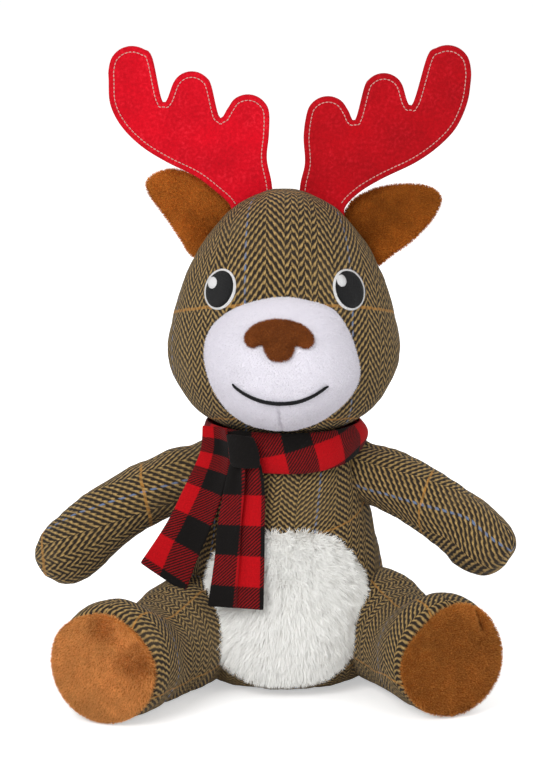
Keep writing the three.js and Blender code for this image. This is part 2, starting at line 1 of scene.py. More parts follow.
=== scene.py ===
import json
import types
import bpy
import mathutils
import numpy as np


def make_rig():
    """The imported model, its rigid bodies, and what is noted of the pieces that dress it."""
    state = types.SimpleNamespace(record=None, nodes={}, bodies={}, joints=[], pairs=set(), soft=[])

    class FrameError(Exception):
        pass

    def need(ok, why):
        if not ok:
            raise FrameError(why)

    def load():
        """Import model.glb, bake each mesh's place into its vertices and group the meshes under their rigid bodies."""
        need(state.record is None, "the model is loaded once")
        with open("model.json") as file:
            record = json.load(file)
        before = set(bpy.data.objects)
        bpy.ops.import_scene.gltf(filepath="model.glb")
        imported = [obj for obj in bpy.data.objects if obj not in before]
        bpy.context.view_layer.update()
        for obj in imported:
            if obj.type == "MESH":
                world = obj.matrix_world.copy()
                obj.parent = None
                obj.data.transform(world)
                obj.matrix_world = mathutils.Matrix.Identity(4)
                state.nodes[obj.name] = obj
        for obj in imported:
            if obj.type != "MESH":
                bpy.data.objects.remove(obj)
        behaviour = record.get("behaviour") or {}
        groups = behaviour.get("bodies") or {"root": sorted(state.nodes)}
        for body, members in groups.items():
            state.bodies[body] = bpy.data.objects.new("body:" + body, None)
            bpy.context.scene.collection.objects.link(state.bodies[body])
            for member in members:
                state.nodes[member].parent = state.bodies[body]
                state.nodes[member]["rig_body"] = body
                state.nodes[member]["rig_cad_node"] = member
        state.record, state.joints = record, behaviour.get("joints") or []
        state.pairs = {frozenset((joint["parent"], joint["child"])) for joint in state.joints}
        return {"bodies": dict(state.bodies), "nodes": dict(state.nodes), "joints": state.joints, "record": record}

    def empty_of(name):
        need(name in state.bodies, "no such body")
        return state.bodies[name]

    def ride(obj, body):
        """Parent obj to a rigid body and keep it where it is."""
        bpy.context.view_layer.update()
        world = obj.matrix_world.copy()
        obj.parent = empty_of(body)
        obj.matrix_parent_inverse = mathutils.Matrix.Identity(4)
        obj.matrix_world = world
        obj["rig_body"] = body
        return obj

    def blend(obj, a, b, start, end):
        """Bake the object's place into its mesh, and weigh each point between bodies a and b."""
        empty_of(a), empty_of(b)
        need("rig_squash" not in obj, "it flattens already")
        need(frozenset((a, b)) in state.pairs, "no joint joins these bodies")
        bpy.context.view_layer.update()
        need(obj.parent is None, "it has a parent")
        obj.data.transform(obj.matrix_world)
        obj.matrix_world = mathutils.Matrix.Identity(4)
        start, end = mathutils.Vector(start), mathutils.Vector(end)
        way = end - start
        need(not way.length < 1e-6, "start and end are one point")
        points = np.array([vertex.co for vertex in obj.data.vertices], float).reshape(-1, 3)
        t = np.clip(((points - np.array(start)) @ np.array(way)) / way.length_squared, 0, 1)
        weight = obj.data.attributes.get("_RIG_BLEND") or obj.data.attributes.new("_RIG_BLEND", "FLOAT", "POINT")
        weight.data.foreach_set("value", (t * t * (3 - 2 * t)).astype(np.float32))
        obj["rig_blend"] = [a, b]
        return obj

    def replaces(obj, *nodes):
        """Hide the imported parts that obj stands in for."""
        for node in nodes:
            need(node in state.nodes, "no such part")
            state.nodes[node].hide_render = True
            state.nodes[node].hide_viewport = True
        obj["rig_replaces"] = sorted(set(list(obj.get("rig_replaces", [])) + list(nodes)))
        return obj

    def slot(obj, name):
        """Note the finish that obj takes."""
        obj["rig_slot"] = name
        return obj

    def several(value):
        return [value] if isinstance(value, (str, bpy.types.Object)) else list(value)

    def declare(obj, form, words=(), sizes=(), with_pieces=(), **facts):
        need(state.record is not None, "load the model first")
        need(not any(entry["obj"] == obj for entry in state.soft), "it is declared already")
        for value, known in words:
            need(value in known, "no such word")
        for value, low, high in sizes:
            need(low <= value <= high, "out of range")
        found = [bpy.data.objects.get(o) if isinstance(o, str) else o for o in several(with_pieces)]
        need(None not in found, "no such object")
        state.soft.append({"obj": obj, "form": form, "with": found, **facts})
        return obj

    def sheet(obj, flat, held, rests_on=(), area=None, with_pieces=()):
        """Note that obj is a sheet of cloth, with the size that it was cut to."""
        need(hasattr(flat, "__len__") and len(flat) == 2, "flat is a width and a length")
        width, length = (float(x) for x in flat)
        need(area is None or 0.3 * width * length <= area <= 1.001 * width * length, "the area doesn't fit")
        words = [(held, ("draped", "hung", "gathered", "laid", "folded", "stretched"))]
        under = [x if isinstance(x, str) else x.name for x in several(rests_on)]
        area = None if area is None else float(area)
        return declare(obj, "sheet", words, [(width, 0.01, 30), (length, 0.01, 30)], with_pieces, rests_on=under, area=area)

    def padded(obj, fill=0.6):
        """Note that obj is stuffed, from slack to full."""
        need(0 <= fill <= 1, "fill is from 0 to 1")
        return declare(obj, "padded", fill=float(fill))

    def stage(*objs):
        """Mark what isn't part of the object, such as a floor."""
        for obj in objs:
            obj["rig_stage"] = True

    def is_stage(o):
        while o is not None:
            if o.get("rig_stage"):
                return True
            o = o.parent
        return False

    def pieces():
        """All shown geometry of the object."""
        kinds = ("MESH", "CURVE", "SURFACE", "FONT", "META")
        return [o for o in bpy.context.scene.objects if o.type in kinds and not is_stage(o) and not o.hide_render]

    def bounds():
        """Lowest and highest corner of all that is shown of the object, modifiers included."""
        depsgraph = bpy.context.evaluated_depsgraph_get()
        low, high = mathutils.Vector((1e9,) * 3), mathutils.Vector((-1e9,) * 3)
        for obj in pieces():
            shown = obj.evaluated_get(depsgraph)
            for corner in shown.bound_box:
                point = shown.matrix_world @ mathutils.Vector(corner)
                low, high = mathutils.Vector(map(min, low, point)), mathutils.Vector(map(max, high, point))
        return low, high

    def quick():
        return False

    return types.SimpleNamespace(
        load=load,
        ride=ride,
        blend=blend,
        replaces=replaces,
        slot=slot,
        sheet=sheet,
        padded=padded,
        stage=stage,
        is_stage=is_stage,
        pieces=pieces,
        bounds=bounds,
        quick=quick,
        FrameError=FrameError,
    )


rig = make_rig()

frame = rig.load()

import json
import math
import bpy
import bmesh
from mathutils import Matrix, Vector, noise
from mathutils.bvhtree import BVHTree
from mathutils.geometry import delaunay_2d_cdt

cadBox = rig.bounds()
scene = bpy.context.scene
mm = 0.001
sides = {"left": -1, "right": 1}  # left is -x, as the toy is seen
print("frame loaded")


# Node wiring

def srgb(*values):  # 0 to 255, as a picture shows it
    def linear(v):
        v /= 255
        return v / 12.92 if v <= 0.04045 else ((v + 0.055) / 1.055) ** 2.4
    return (*[linear(v) for v in values], 1)


class Wiring:
    def __init__(self, tree):
        self.tree = tree

    def feed(self, socket, value):
        if isinstance(value, bpy.types.NodeSocket):
            self.tree.links.new(value, socket)
        elif value is not None:
            socket.default_value = value

    def node(self, kind, inputs=None, **settings):
        made = self.tree.nodes.new(kind)
        for key, value in settings.items():
            setattr(made, key, value)
        for key, value in (inputs or {}).items():
            self.feed(made.inputs[key], value)
        return made

    def math(self, operation, *values):
        made = self.node("ShaderNodeMath", operation=operation)
        for socket, value in zip(made.inputs, values):
            self.feed(socket, value)
        return made.outputs[0]

    def times(self, a, b):
        return self.math("MULTIPLY", a, b)

    def minus(self, a, b):
        return self.math("SUBTRACT", a, b)

    def scaled(self, value, factor, extra):
        return self.math("MULTIPLY_ADD", value, factor, extra)

    def waves(self, value, length):  # from -1 to 1 and back in each length
        return self.math("SINE", self.times(value, 2 * math.pi / length))

    def band(self, value, low, high):  # 0 below low, 1 above high
        made = self.node("ShaderNodeMapRange", interpolation_type="SMOOTHSTEP")
        for socket, number in zip(made.inputs, (value, low, high, 0, 1)):
            self.feed(socket, number)
        return made.outputs[0]

    def mix(self, factor, a, b, blend="MIX"):
        made = self.node("ShaderNodeMix", data_type="RGBA", blend_type=blend)
        self.feed(made.inputs[0], factor)
        self.feed(made.inputs[6], a)
        self.feed(made.inputs[7], b)
        return made.outputs[2]

    def made(self, kind, inputs=None, **settings):  # what a new node gives first
        return self.node(kind, inputs, **settings).outputs[0]

    def grain(self, vector, scale, detail=2):
        return self.made("ShaderNodeTexNoise", {"Vector": vector, "Scale": scale, "Detail": detail})


def newGroup(name, inputs, outputs):  # a shader effect with named sockets
    tree = bpy.data.node_groups.new(name, "ShaderNodeTree")
    for label, kind, value in inputs:
        socket = tree.interface.new_socket(label, in_out="INPUT", socket_type=kind)
        if value is not None:
            socket.default_value = value
    for label, kind in outputs:
        tree.interface.new_socket(label, in_out="OUTPUT", socket_type=kind)
    return Wiring(tree), tree.nodes.new("NodeGroupInput"), tree.nodes.new("NodeGroupOutput")


def newMaterial(name, roughness, sheen=0, sheenRoughness=0.5):
    mat = bpy.data.materials.new(name)
    mat.use_nodes = True
    mat.node_tree.nodes.clear()
    wires = Wiring(mat.node_tree)
    bsdf = wires.node("ShaderNodeBsdfPrincipled")
    bsdf.inputs["Roughness"].default_value = roughness
    bsdf.inputs["Specular IOR Level"].default_value = 0.15
    bsdf.inputs["Sheen Weight"].default_value = sheen
    bsdf.inputs["Sheen Roughness"].default_value = sheenRoughness
    out = wires.node("ShaderNodeOutputMaterial")
    mat.node_tree.links.new(bsdf.outputs[0], out.inputs[0])
    return mat, wires, bsdf


def bump(wires, bsdf, height, depth):
    made = wires.node("ShaderNodeBump", {"Height": height, "Distance": depth, "Strength": 1})
    wires.feed(bsdf.inputs["Normal"], made.outputs[0])


# Herringbone tweed, in millimetres of cloth: columns of twill that turn at each edge

tweed = {
    "columns": (19.3, 8.4, 3, 3, 3, 3, 3, 7.9),
    "slope": 1.21,
    "pitch": 3.63,
    "thread": 2.05,
    "dash": 4.65,
    "blueAt": 9.6,
    "blueEdge": (0.3, 0.65),  # how far from its middle a line fades
    "tanAt": 25.3,
    "tanEvery": 50.6,
    "tanEdge": (0.45, 0.85),
    "wander": 1.3,  # how far the lines stray
    "light": srgb(176, 145, 91),
    "dark": srgb(42, 35, 28),
    "blue": srgb(112, 132, 168),
    "tan": srgb(186, 132, 62),
    "worn": srgb(112, 96, 72),
}


def tweedGroup():
    wires, given, out = newGroup(
        "herringbone",
        [("Cloth", "NodeSocketVector", None), ("Wear", "NodeSocketFloat", 0.0),
         ("Tan At", "NodeSocketFloat", tweed["tanAt"]), ("Tan Every", "NodeSocketFloat", tweed["tanEvery"])],
        [("Color", "NodeSocketColor"), ("Height", "NodeSocketFloat")],
    )
    cloth = given.outputs["Cloth"]
    wobble = wires.times(wires.minus(wires.grain(cloth, 0.16), 0.5), tweed["wander"])
    parts = wires.node("ShaderNodeSeparateXYZ", {"Vector": cloth})
    u, v = parts.outputs[0], wires.math("ADD", parts.outputs[1], wobble)
    repeat = sum(tweed["columns"])
    along = wires.math("FLOORED_MODULO", u, repeat)
    rise, cut, edge, turn = along, 0, 0, -2
    for width in tweed["columns"][:-1]:
        edge += width
        step = wires.math("MAXIMUM", wires.minus(along, edge), 0)
        rise = wires.scaled(step, turn, rise)
        cut = wires.math("ADD", wires.math("GREATER_THAN", along, edge), cut)
        turn = -turn
    rise = wires.times(rise, tweed["slope"])
    phase = wires.times(wires.minus(v, rise), 2 * math.pi / tweed["pitch"])
    phase = wires.scaled(cut, math.pi, phase)  # each column starts half a step off the last
    twist = wires.waves(u, tweed["thread"])
    wave = wires.math("SINE", wires.scaled(twist, 0.5, phase))
    fibre = wires.grain(cloth, 2.2, 3)
    yarn = wires.scaled(wires.minus(fibre, 0.5), 2.0, wave)
    yarn = wires.scaled(twist, 0.28, yarn)
    light = wires.band(yarn, -0.5, 1.25)
    tone = wires.scaled(wires.grain(cloth, 0.7, 3), 1.5, 0.2)
    lightYarn = wires.mix(1, tweed["light"], tone, "MULTIPLY")
    colour = wires.mix(light, tweed["dark"], lightYarn)
    offBlue = wires.math("ABSOLUTE", wires.minus(along, tweed["blueAt"]))
    slant = wires.minus(v, wires.times(along, 1.1))
    dots = wires.band(wires.waves(slant, tweed["dash"]), -0.5, 0.4)
    blue = wires.times(wires.minus(1, wires.band(offBlue, *tweed["blueEdge"])), dots)
    colour = wires.mix(wires.times(blue, 0.75), colour, tweed["blue"])
    every = given.outputs["Tan Every"]
    fromTan = wires.math("DIVIDE", wires.minus(v, given.outputs["Tan At"]), every)
    nearest = wires.minus(fromTan, wires.math("ROUND", fromTan))
    offTan = wires.times(wires.math("ABSOLUTE", nearest), every)
    tan = wires.minus(1, wires.band(offTan, *tweed["tanEdge"]))
    tan = wires.times(tan, wires.scaled(dots, 0.35, 0.4))
    colour = wires.mix(tan, colour, tweed["tan"])
    faded = wires.mix(given.outputs["Wear"], colour, tweed["worn"])
    wires.feed(out.inputs["Color"], faded)
    wires.feed(out.inputs["Height"], wires.scaled(fibre, 0.5, light))
    return wires.tree


herringbone = tweedGroup()


def clothMap(wires, shift=(0, 0, 0), stretch=(1, 1, 1)):  # the piece's own cloth coordinates, in millimetres
    uv = wires.made("ShaderNodeUVMap", uv_map="cloth")
    return wires.made("ShaderNodeMapping", {"Vector": uv, "Location": shift, "Scale": stretch})


def tweedMaterial(name, shift, stretch=(1, 1, 1), lines=None):
    mat, wires, bsdf = newMaterial(name, 0.95, 0.05, 0.6)
    group = wires.node("ShaderNodeGroup")
    group.node_tree = herringbone
    if lines:
        group.inputs["Tan At"].default_value, group.inputs["Tan Every"].default_value = lines
    wires.feed(group.inputs["Cloth"], clothMap(wires, shift, stretch))
    patches = wires.grain(wires.node("ShaderNodeTexCoord").outputs["Object"], 38, 2)
    wires.feed(group.inputs["Wear"], wires.times(wires.band(patches, 0.5, 0.8), 0.3))
    wires.feed(bsdf.inputs["Base Color"], group.outputs["Color"])
    bump(wires, bsdf, group.outputs["Height"], 0.00035)
    return mat


# Brushed flannel in red and black squares, with twill stripes where the two yarns cross

flannel = {
    "square": 13.5,
    "twill": 1.1,
    "fuzz": 1.3,
    "edge": 0.07,
    "red": srgb(176, 4, 15),
    "black": srgb(14, 11, 10),
}


def flannelGroup():
    wires, given, out = newGroup(
        "checkedFlannel",
        [("Cloth", "NodeSocketVector", None)],
        [("Color", "NodeSocketColor"), ("Height", "NodeSocketFloat")],
    )
    cloth = given.outputs["Cloth"]
    parts = wires.node("ShaderNodeSeparateXYZ", {"Vector": cloth})
    fuzz = wires.times(wires.minus(wires.grain(cloth, 1.8, 3), 0.5), flannel["fuzz"])

    def stripe(value):
        wave = wires.waves(wires.math("ADD", value, fuzz), 2 * flannel["square"])
        return wires.band(wave, -flannel["edge"], flannel["edge"])

    warp, weft = stripe(parts.outputs[0]), stripe(parts.outputs[1])
    slant = wires.minus(parts.outputs[0], parts.outputs[1])
    slant = wires.scaled(fuzz, 0.7, slant)
    lines = wires.waves(slant, flannel["twill"] * 1.414)
    lines = wires.scaled(wires.band(lines, -0.5, 0.8), 0.5, 0.03)
    both = wires.times(warp, weft)
    one = wires.minus(wires.math("ADD", warp, weft), wires.times(both, 2))
    weave = wires.scaled(one, lines, both)
    shade = wires.scaled(wires.grain(cloth, 1.1, 3), 0.55, 0.72)
    red = wires.mix(1, flannel["red"], shade, "MULTIPLY")
    wires.feed(out.inputs["Color"], wires.mix(weave, flannel["black"], red))
    wires.feed(out.inputs["Height"], wires.scaled(lines, 0.35, wires.grain(cloth, 2.6, 3)))
    return wires.tree


checkedFlannel = flannelGroup()


def flannelMaterial(name, shift):
    mat, wires, bsdf = newMaterial(name, 0.95, 0.03, 0.6)
    group = wires.node("ShaderNodeGroup")
    group.node_tree = checkedFlannel
    wires.feed(group.inputs["Cloth"], clothMap(wires, shift))
    wires.feed(bsdf.inputs["Base Color"], group.outputs["Color"])
    bump(wires, bsdf, group.outputs["Height"], 0.0002)
    return mat


# Pile, felt and thread

def pileMaterial(name, root, tip, mottle, sheen):
    mat, wires, bsdf = newMaterial(name, 0.9, sheen, 0.4)
    place = wires.node("ShaderNodeTexCoord").outputs["Object"]
    reach = wires.node("ShaderNodeAttribute", attribute_name="tip").outputs["Fac"]
    tuft = wires.node("ShaderNodeAttribute", attribute_name="tuft").outputs["Fac"]
    colour = wires.mix(wires.band(reach, 0, 0.9), root, tip)
    patchy = wires.scaled(wires.grain(place, 160, 3), mottle, 1 - mottle / 2)
    patchy = wires.scaled(tuft, mottle * 0.6, patchy)
    # painted light and shade: broad random patches lighter and darker, for brushed pile catching the light unevenly
    napLightAndShade = wires.minus(wires.grain(place, 45, 2), 0.5)
    patchy = wires.scaled(napLightAndShade, mottle * 1.6, patchy)
    colour = wires.mix(1, colour, patchy, "MULTIPLY")
    wires.feed(bsdf.inputs["Base Color"], colour)
    bsdf.inputs["Sheen Tint"].default_value = tip
    return mat


def feltMaterial(name, colour, pale, fibreScale=700):
    mat, wires, bsdf = newMaterial(name, 0.92, 0.03, 0.6)
    place = wires.node("ShaderNodeTexCoord").outputs["Object"]
    fibres = wires.grain(place, fibreScale, 4)
    clumps = wires.grain(place, fibreScale / 5, 3)
    blend = wires.times(wires.band(fibres, 0.42, 0.8), wires.band(clumps, 0.3, 0.75))
    uneven = wires.scaled(wires.grain(place, fibreScale / 12, 3), 0.6, 0.36)
    uneven = wires.scaled(fibres, 0.65, uneven)
    wires.feed(bsdf.inputs["Base Color"], wires.mix(1, wires.mix(blend, colour, pale), uneven, "MULTIPLY"))
    bump(wires, bsdf, fibres, 0.0003)
    return mat


threadPitch = 0.45  # millimetres


def threadMaterial(name, colour, pale, turn=0):  # satin stitch, fine parallel threads
    mat, wires, bsdf = newMaterial(name, 0.6, 0.05, 0.5)
    turned = (0, 0, math.radians(turn))
    cloth = wires.made("ShaderNodeMapping", {"Vector": clothMap(wires), "Rotation": turned})
    across = wires.made("ShaderNodeSeparateXYZ", {"Vector": cloth})
    grain = wires.grain(cloth, 1.6, 3)
    stray = wires.times(grain, 5)
    threads = wires.math("SINE", wires.scaled(across, 2 * math.pi / threadPitch, stray))
    wires.feed(bsdf.inputs["Base Color"], wires.mix(wires.band(threads, -0.4, 1.2), colour, pale))
    bump(wires, bsdf, threads, 0.00015)
    return mat


whiteFur = pileMaterial("whiteFur", srgb(246, 244, 240), srgb(255, 255, 252), 0.04, 0.25)
whitePlush = pileMaterial("whitePlush", srgb(230, 227, 234), srgb(240, 238, 244), 0.05, 0.2)
# painted shade: the right ear's plush is a darker copy of the left's, for the side that the key lamp lights less
earPlushesWithShadedRight = {
    "left": pileMaterial("leftEarPlush", srgb(168, 96, 30), srgb(230, 150, 66), 0.45, 0.1),
    "right": pileMaterial("rightEarPlush", srgb(150, 80, 18), srgb(208, 128, 48), 0.45, 0.1),
}
# painted shade: the right pad's plush is a darker copy of the left's, for the side that the key lamp lights less
padPlushesWithShadedRight = {
    "left": pileMaterial("leftPadPlush", srgb(174, 105, 46), srgb(236, 168, 98), 0.4, 0.12),
    "right": pileMaterial("rightPadPlush", srgb(156, 90, 30), srgb(216, 146, 72), 0.4, 0.12),
}
# painted shade: the right antler's felt is a darker copy of the left's, for the side that the key lamp lights less
redFeltsWithShadedRight = {
    "left": feltMaterial("leftRedFelt", srgb(198, 0, 24), srgb(214, 30, 47)),
    "right": feltMaterial("rightRedFelt", srgb(168, 0, 14), srgb(186, 20, 34)),
}
noseFelt = feltMaterial("noseFelt", srgb(138, 74, 28), srgb(176, 104, 50), 1500)
blackThread = threadMaterial("blackThread", srgb(13, 13, 14), srgb(28, 28, 30), 20)
whiteThread = threadMaterial("whiteThread", srgb(240, 240, 241), srgb(253, 253, 253), 60)
stitchThread = threadMaterial("stitchThread", srgb(230, 172, 162), srgb(246, 206, 196))
print("materials made")


# Mesh making, in millimetres until the mesh is stored

def newPiece(name, verts, faces, uvs, material):
    mesh = bpy.data.meshes.new(name)
    mesh.from_pydata([Vector(v) * mm for v in verts], [], faces)
    layer = mesh.uv_layers.new(name="cloth")
    flat = [uv for face in uvs for uv in face]
    for loop, uv in zip(layer.data, flat):
        loop.uv = uv
    mesh.materials.append(material)
    piece = bpy.data.objects.new(name, mesh)
    scene.collection.objects.link(piece)
    return outward(piece)


def outward(piece):
    work = bmesh.new()
    work.from_mesh(piece.data)
    bmesh.ops.recalc_face_normals(work, faces=work.faces)
    work.to_mesh(piece.data)
    work.free()
    piece.data.polygons.foreach_set("use_smooth", [True] * len(piece.data.polygons))
    return piece


def settled(piece):  # what the modifiers make becomes the piece's own mesh
    graph = bpy.context.evaluated_depsgraph_get()
    ready = piece.evaluated_get(graph)
    made = bpy.data.meshes.new_from_object(ready, preserve_all_data_layers=True, depsgraph=graph)
    old = piece.data
    piece.modifiers.clear()
    piece.data = made
    bpy.data.meshes.remove(old)
    made.name = piece.name
    return piece


def finer(piece, levels):
    subdivision = piece.modifiers.new("finer", "SUBSURF")
    subdivision.levels = subdivision.render_levels = levels
    return settled(piece)


def smoothRun(points, steps):  # a smooth line from the second of four points to the third
    a, b, c, d = (Vector(p) for p in points)
    run = []
    for step in range(steps):
        t = step / steps
        run.append(0.5 * (2 * b + (c - a) * t + (2 * a - 5 * b + 4 * c - d) * t * t
                          + (3 * b - 3 * c + d - a) * t ** 3))
    return run


def curveThrough(points, spacing):  # even steps along a smooth line, each with its distance from the start
    dense = []
    last = len(points) - 1
    for i in range(last):
        dense += smoothRun([points[min(max(i + k, 0), last)] for k in (-1, 0, 1, 2)], 24)
    dense.append(Vector(points[-1]))
    reach = [0]
    for a, b in zip(dense, dense[1:]):
        reach.append(reach[-1] + (b - a).length)
    count = max(2, round(reach[-1] / spacing))
    line, at = [], 0
    for i in range(count + 1):
        want = reach[-1] * i / count
        while at < len(reach) - 2 and reach[at + 1] < want:
            at += 1
        gap = reach[at + 1] - reach[at] or 1
        line.append((dense[at].lerp(dense[at + 1], (want - reach[at]) / gap), want))
    return line


def turnedForm(name, line, count, place, clothAt, material):  # rings of points round a centre line
    verts, faces, uvs, rings = [], [], [], []
    angles = [-math.pi + 2 * math.pi * j / count for j in range(count + 1)]
    for (radius, along), reach in line:
        if radius < 0.05:
            rings.append([len(verts)] * count)
            verts.append(place(0, along, 0))
        else:
            rings.append(range(len(verts), len(verts) + count))
            verts += [place(radius, along, angle) for angle in angles[:-1]]
    for i in range(len(rings) - 1):
        for j in range(count):
            corners = [(i, j), (i, j + 1), (i + 1, j + 1), (i + 1, j)]
            middle = (angles[j] + angles[j + 1]) / 2
            face, cloth = [], []
            for a, b in corners:
                index = rings[a][b % count]
                if index not in face:
                    face.append(index)
                    (radius, along), reach = line[a]
                    cloth.append(clothAt(radius, along, angles[b], reach, middle))
            if len(face) > 2:
                faces.append(face)
                uvs.append(cloth)
    return newPiece(name, verts, faces, uvs, material)


stuffing = {
    "frames": 20,
    "start": 0.5,  # slack before filling and most movement, in millimetres
    "cap": 0.9,
    "pressure": 120,
    "mass": 0.02,
    "stretch": 3,
    "shear": 1.5,
    "bend": 0.4,
    "steps": 6,
}


def push(piece, amount):  # each vertex along its normal, in millimetres
    normals = [v.normal.copy() for v in piece.data.vertices]
    for vertex, normal in zip(piece.data.vertices, normals):
        vertex.co += normal * amount(vertex) * mm
    piece.data.update()


def startSlack(piece, held):  # a little smaller than the toy, with the seams held where they are sewn
    seams = piece.vertex_groups.new(name="seams")
    sewn = [vertex.index for vertex in piece.data.vertices if held(vertex.co / mm)]
    seams.add(sewn, 1, "REPLACE")
    push(piece, lambda vertex: -stuffing["start"])


def inflate(pieces):
    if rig.quick():
        for piece in pieces:
            push(piece, lambda vertex: stuffing["start"])
        return
    before = {}
    for piece in pieces:
        before[piece.name] = [v.co.copy() for v in piece.data.vertices]
        cloth = piece.modifiers.new("stuffing", "CLOTH")
        values = cloth.settings
        values.quality = stuffing["steps"]
        values.mass = stuffing["mass"]
        values.tension_stiffness = values.compression_stiffness = stuffing["stretch"]
        values.shear_stiffness = stuffing["shear"]
        values.bending_stiffness = stuffing["bend"]
        values.use_pressure = True
        values.uniform_pressure_force = stuffing["pressure"]
        values.vertex_group_mass = "seams"
        values.effector_weights.gravity = 0
        cloth.point_cache.frame_start, cloth.point_cache.frame_end = 1, stuffing["frames"]
    for number in range(1, stuffing["frames"] + 1):
        scene.frame_set(number)
    graph = bpy.context.evaluated_depsgraph_get()
    for piece in pieces:
        blown = [v.co.copy() for v in piece.evaluated_get(graph).data.vertices]
        piece.modifiers.clear()
        cap = stuffing["cap"] * mm
        moved = 0
        for vertex, start, end in zip(piece.data.vertices, before[piece.name], blown):
            step = end - start
            if step.length > cap:
                step *= cap / step.length
            moved = max(moved, step.length)
            vertex.co = start + step
        piece.data.update()
        print("stuffed", piece.name, "moved", round(moved / mm, 2), "mm")
    scene.frame_set(1)


# Body: a stuffed pear on a flat seat, with side seams

body = {
    "profile": [(0, 0.6), (22, 0.6), (35, 1.2), (45, 10), (48, 31), (43, 63), (33, 102.6), (22, 115),
                (0, 116)],
    "depth": 43 / 48,
    "sides": 64,
    "cell": 4.4,
    "droop": -14,
    "skew": 0.117,
    "shift": (9, 1.5, 0),
    "stretch": (1, 1.55, 1),
}
backPanel = (21, 17)  # where the back panel was cut from the cloth


def roundPlace(depth, base=0):
    def place(radius, along, angle):
        return Vector((radius * math.sin(angle), -radius * depth * math.cos(angle), base + along))
    return place


def panelCloth(seam, droop, eased=1e3, skew=0):  # a front and a back panel that meet at side seams
    def clothAt(radius, along, angle, reach, middle):
        lower = droop * (1 - math.cos(angle)) - 0.2 * max(reach - eased, 0)
        if abs(middle) < seam:
            return (radius * angle - skew * reach, reach + lower)
        back = angle - math.copysign(math.pi, middle)
        return (radius * back + backPanel[0], reach + backPanel[1])
    return clothAt


bodyPiece = turnedForm("body", curveThrough(body["profile"], body["cell"]), body["sides"],
                       roundPlace(body["depth"]), panelCloth(math.pi / 2, body["droop"], skew=body["skew"]),
                       tweedMaterial("bodyTweed", body["shift"], body["stretch"]))
startSlack(bodyPiece, lambda p: abs(p.y) < 0.5 or p.z < 2 or p.z > 108)

# Head: a stuffed dome whose seam runs over the crown from ear to ear

head = {
    "base": 115.9,
    "profile": [(0, 1), (18, 0), (27, 1), (43, 12), (52.6, 33), (48.4, 58), (39.6, 80), (25, 98.5),
                (11, 106.8), (0, 109)],
    "depth": 46 / 52.6,
    "sides": 72,
    "cell": 4.4,
    "seam": math.radians(100),
    "droop": 12,
    "eased": 108,  # the cloth is stretched over the crown above this length
    "shift": (27.6, 24.7, 0),
    "lines": (126.5, 56.6),
}
headPiece = turnedForm("head", curveThrough(head["profile"], head["cell"]), head["sides"],
                       roundPlace(head["depth"], head["base"]),
                       panelCloth(head["seam"], head["droop"], head["eased"]),
                       tweedMaterial("headTweed", head["shift"], lines=head["lines"]))


def onHeadSeam(p):
    angle = math.atan2(p.x, -p.y / head["depth"])
    along, high = abs(abs(angle) - head["seam"]) < 0.02, p.z - head["base"]
    return high < 4 or (along and high < 104)


startSlack(headPiece, onHeadSeam)

# Limbs: a ball at the root, then a stuffed tube with a seam above and below

arms = {
    "profile": [(0, -14.8), (8, -12.6), (13.2, -7), (14.8, -1), (13.3, 4), (14.6, 12), (14.5, 24),
                (14.6, 38), (15.2, 56), (15.6, 69), (13.6, 78.5), (8.4, 84.5), (0, 86.8)],
    "length": 71,
    "extra": {"left": 4.5, "right": -1},
    "bend": 135,
    "sides": 28,
    "cell": 3.6,
    "flat": 0.96,
    "pinch": 0,
    "pivot": {"left": (-32.424, 0, 96.4), "right": (32.424, 0, 96.4)},
    "droop": {"left": 14, "right": 7.5},
    "heading": {"left": 183, "right": -30},
    "lean": {"left": 0, "right": 0},
    "straight": {"left": 100, "right": 62},  # beyond this the cloth follows the bend
    "under": 23,  # how far along the cloth the lower panel was cut
    "shift": {"left": (8.5, -5, 0), "right": (6.8, -5, 0)},
    "stretch": {"left": (1, 1, 1), "right": (-0.78, 1.25, 1)},  # the right one with the cloth turned over
    "lines": {"left": None, "right": (75.9, 63.3)},
}
legs = {
    "profile": [(0, -25), (12, -22.6), (20.4, -14.6), (25.4, 0), (26.4, 12), (26, 22), (24, 34),
                (22.6, 46), (24.6, 56), (27, 66), (26.6, 73), (24.6, 78), (15.6, 79), (0, 79.2)],
    "length": 79,
    "extra": {"left": 0, "right": 0},
    "bend": 1e5,
    "sides": 40,
    "cell": 4.0,
    "flat": 1,
    "pinch": 0.2,  # the thigh is pressed flat between the body and the floor
    "pivot": {"left": (-36, -12, 25.3), "right": (36, 1, 25.3)},
    "droop": {"left": 0, "right": 0},
    "heading": {"left": 237, "right": -62},
    "lean": {"left": -9, "right": 4},  # the sole turns a little more to the front than the leg does
    "girth": 33.75,
    "under": 9,
    "shift": {"left": (0.3, 6.4, 0), "right": (3.2, 29.2, 0)},
    "stretch": {"left": (1, 1, 1), "right": (1, 1, 1)},
    "lines": {"left": None, "right": None},
}


def limbTurn(values, side):
    turn = Matrix.Rotation(math.radians(values["heading"][side]), 3, "Z")
    return turn @ Matrix.Rotation(math.radians(values["droop"][side]), 3, "Y")


def limbPlace(values, side):
    turn, pivot = limbTurn(values, side), Vector(values["pivot"][side])
    stretch = 1 + values["extra"][side] / values["length"]
    lean = math.tan(math.radians(values["lean"][side])) / values["length"]

    def place(radius, along, angle):  # angle 0 is the top of the limb
        along *= stretch if along > 0 else 1
        bent = min(max(along, 0), values["length"] * stretch)
        spare, up = along - bent, radius * math.cos(angle)
        sine, cosine = math.sin(bent / values["bend"]), math.cos(bent / values["bend"])
        x = values["bend"] * sine + spare * cosine + up * sine
        z = -values["bend"] * (1 - cosine) - spare * sine + up * cosine
        pinch = values["pinch"] * min(max(1 - along / 60, 0), 1)
        y = radius * (values["flat"] - pinch) * math.sin(angle)
        spot = turn @ Vector((x + y * lean * bent, y, z)) + pivot
        if values is legs and along > 0:
            spot.z += radius - pivot.z + 0.3  # the leg lies on the floor all along
        spot.z = max(spot.z, 0.4)
        return spot
    return place


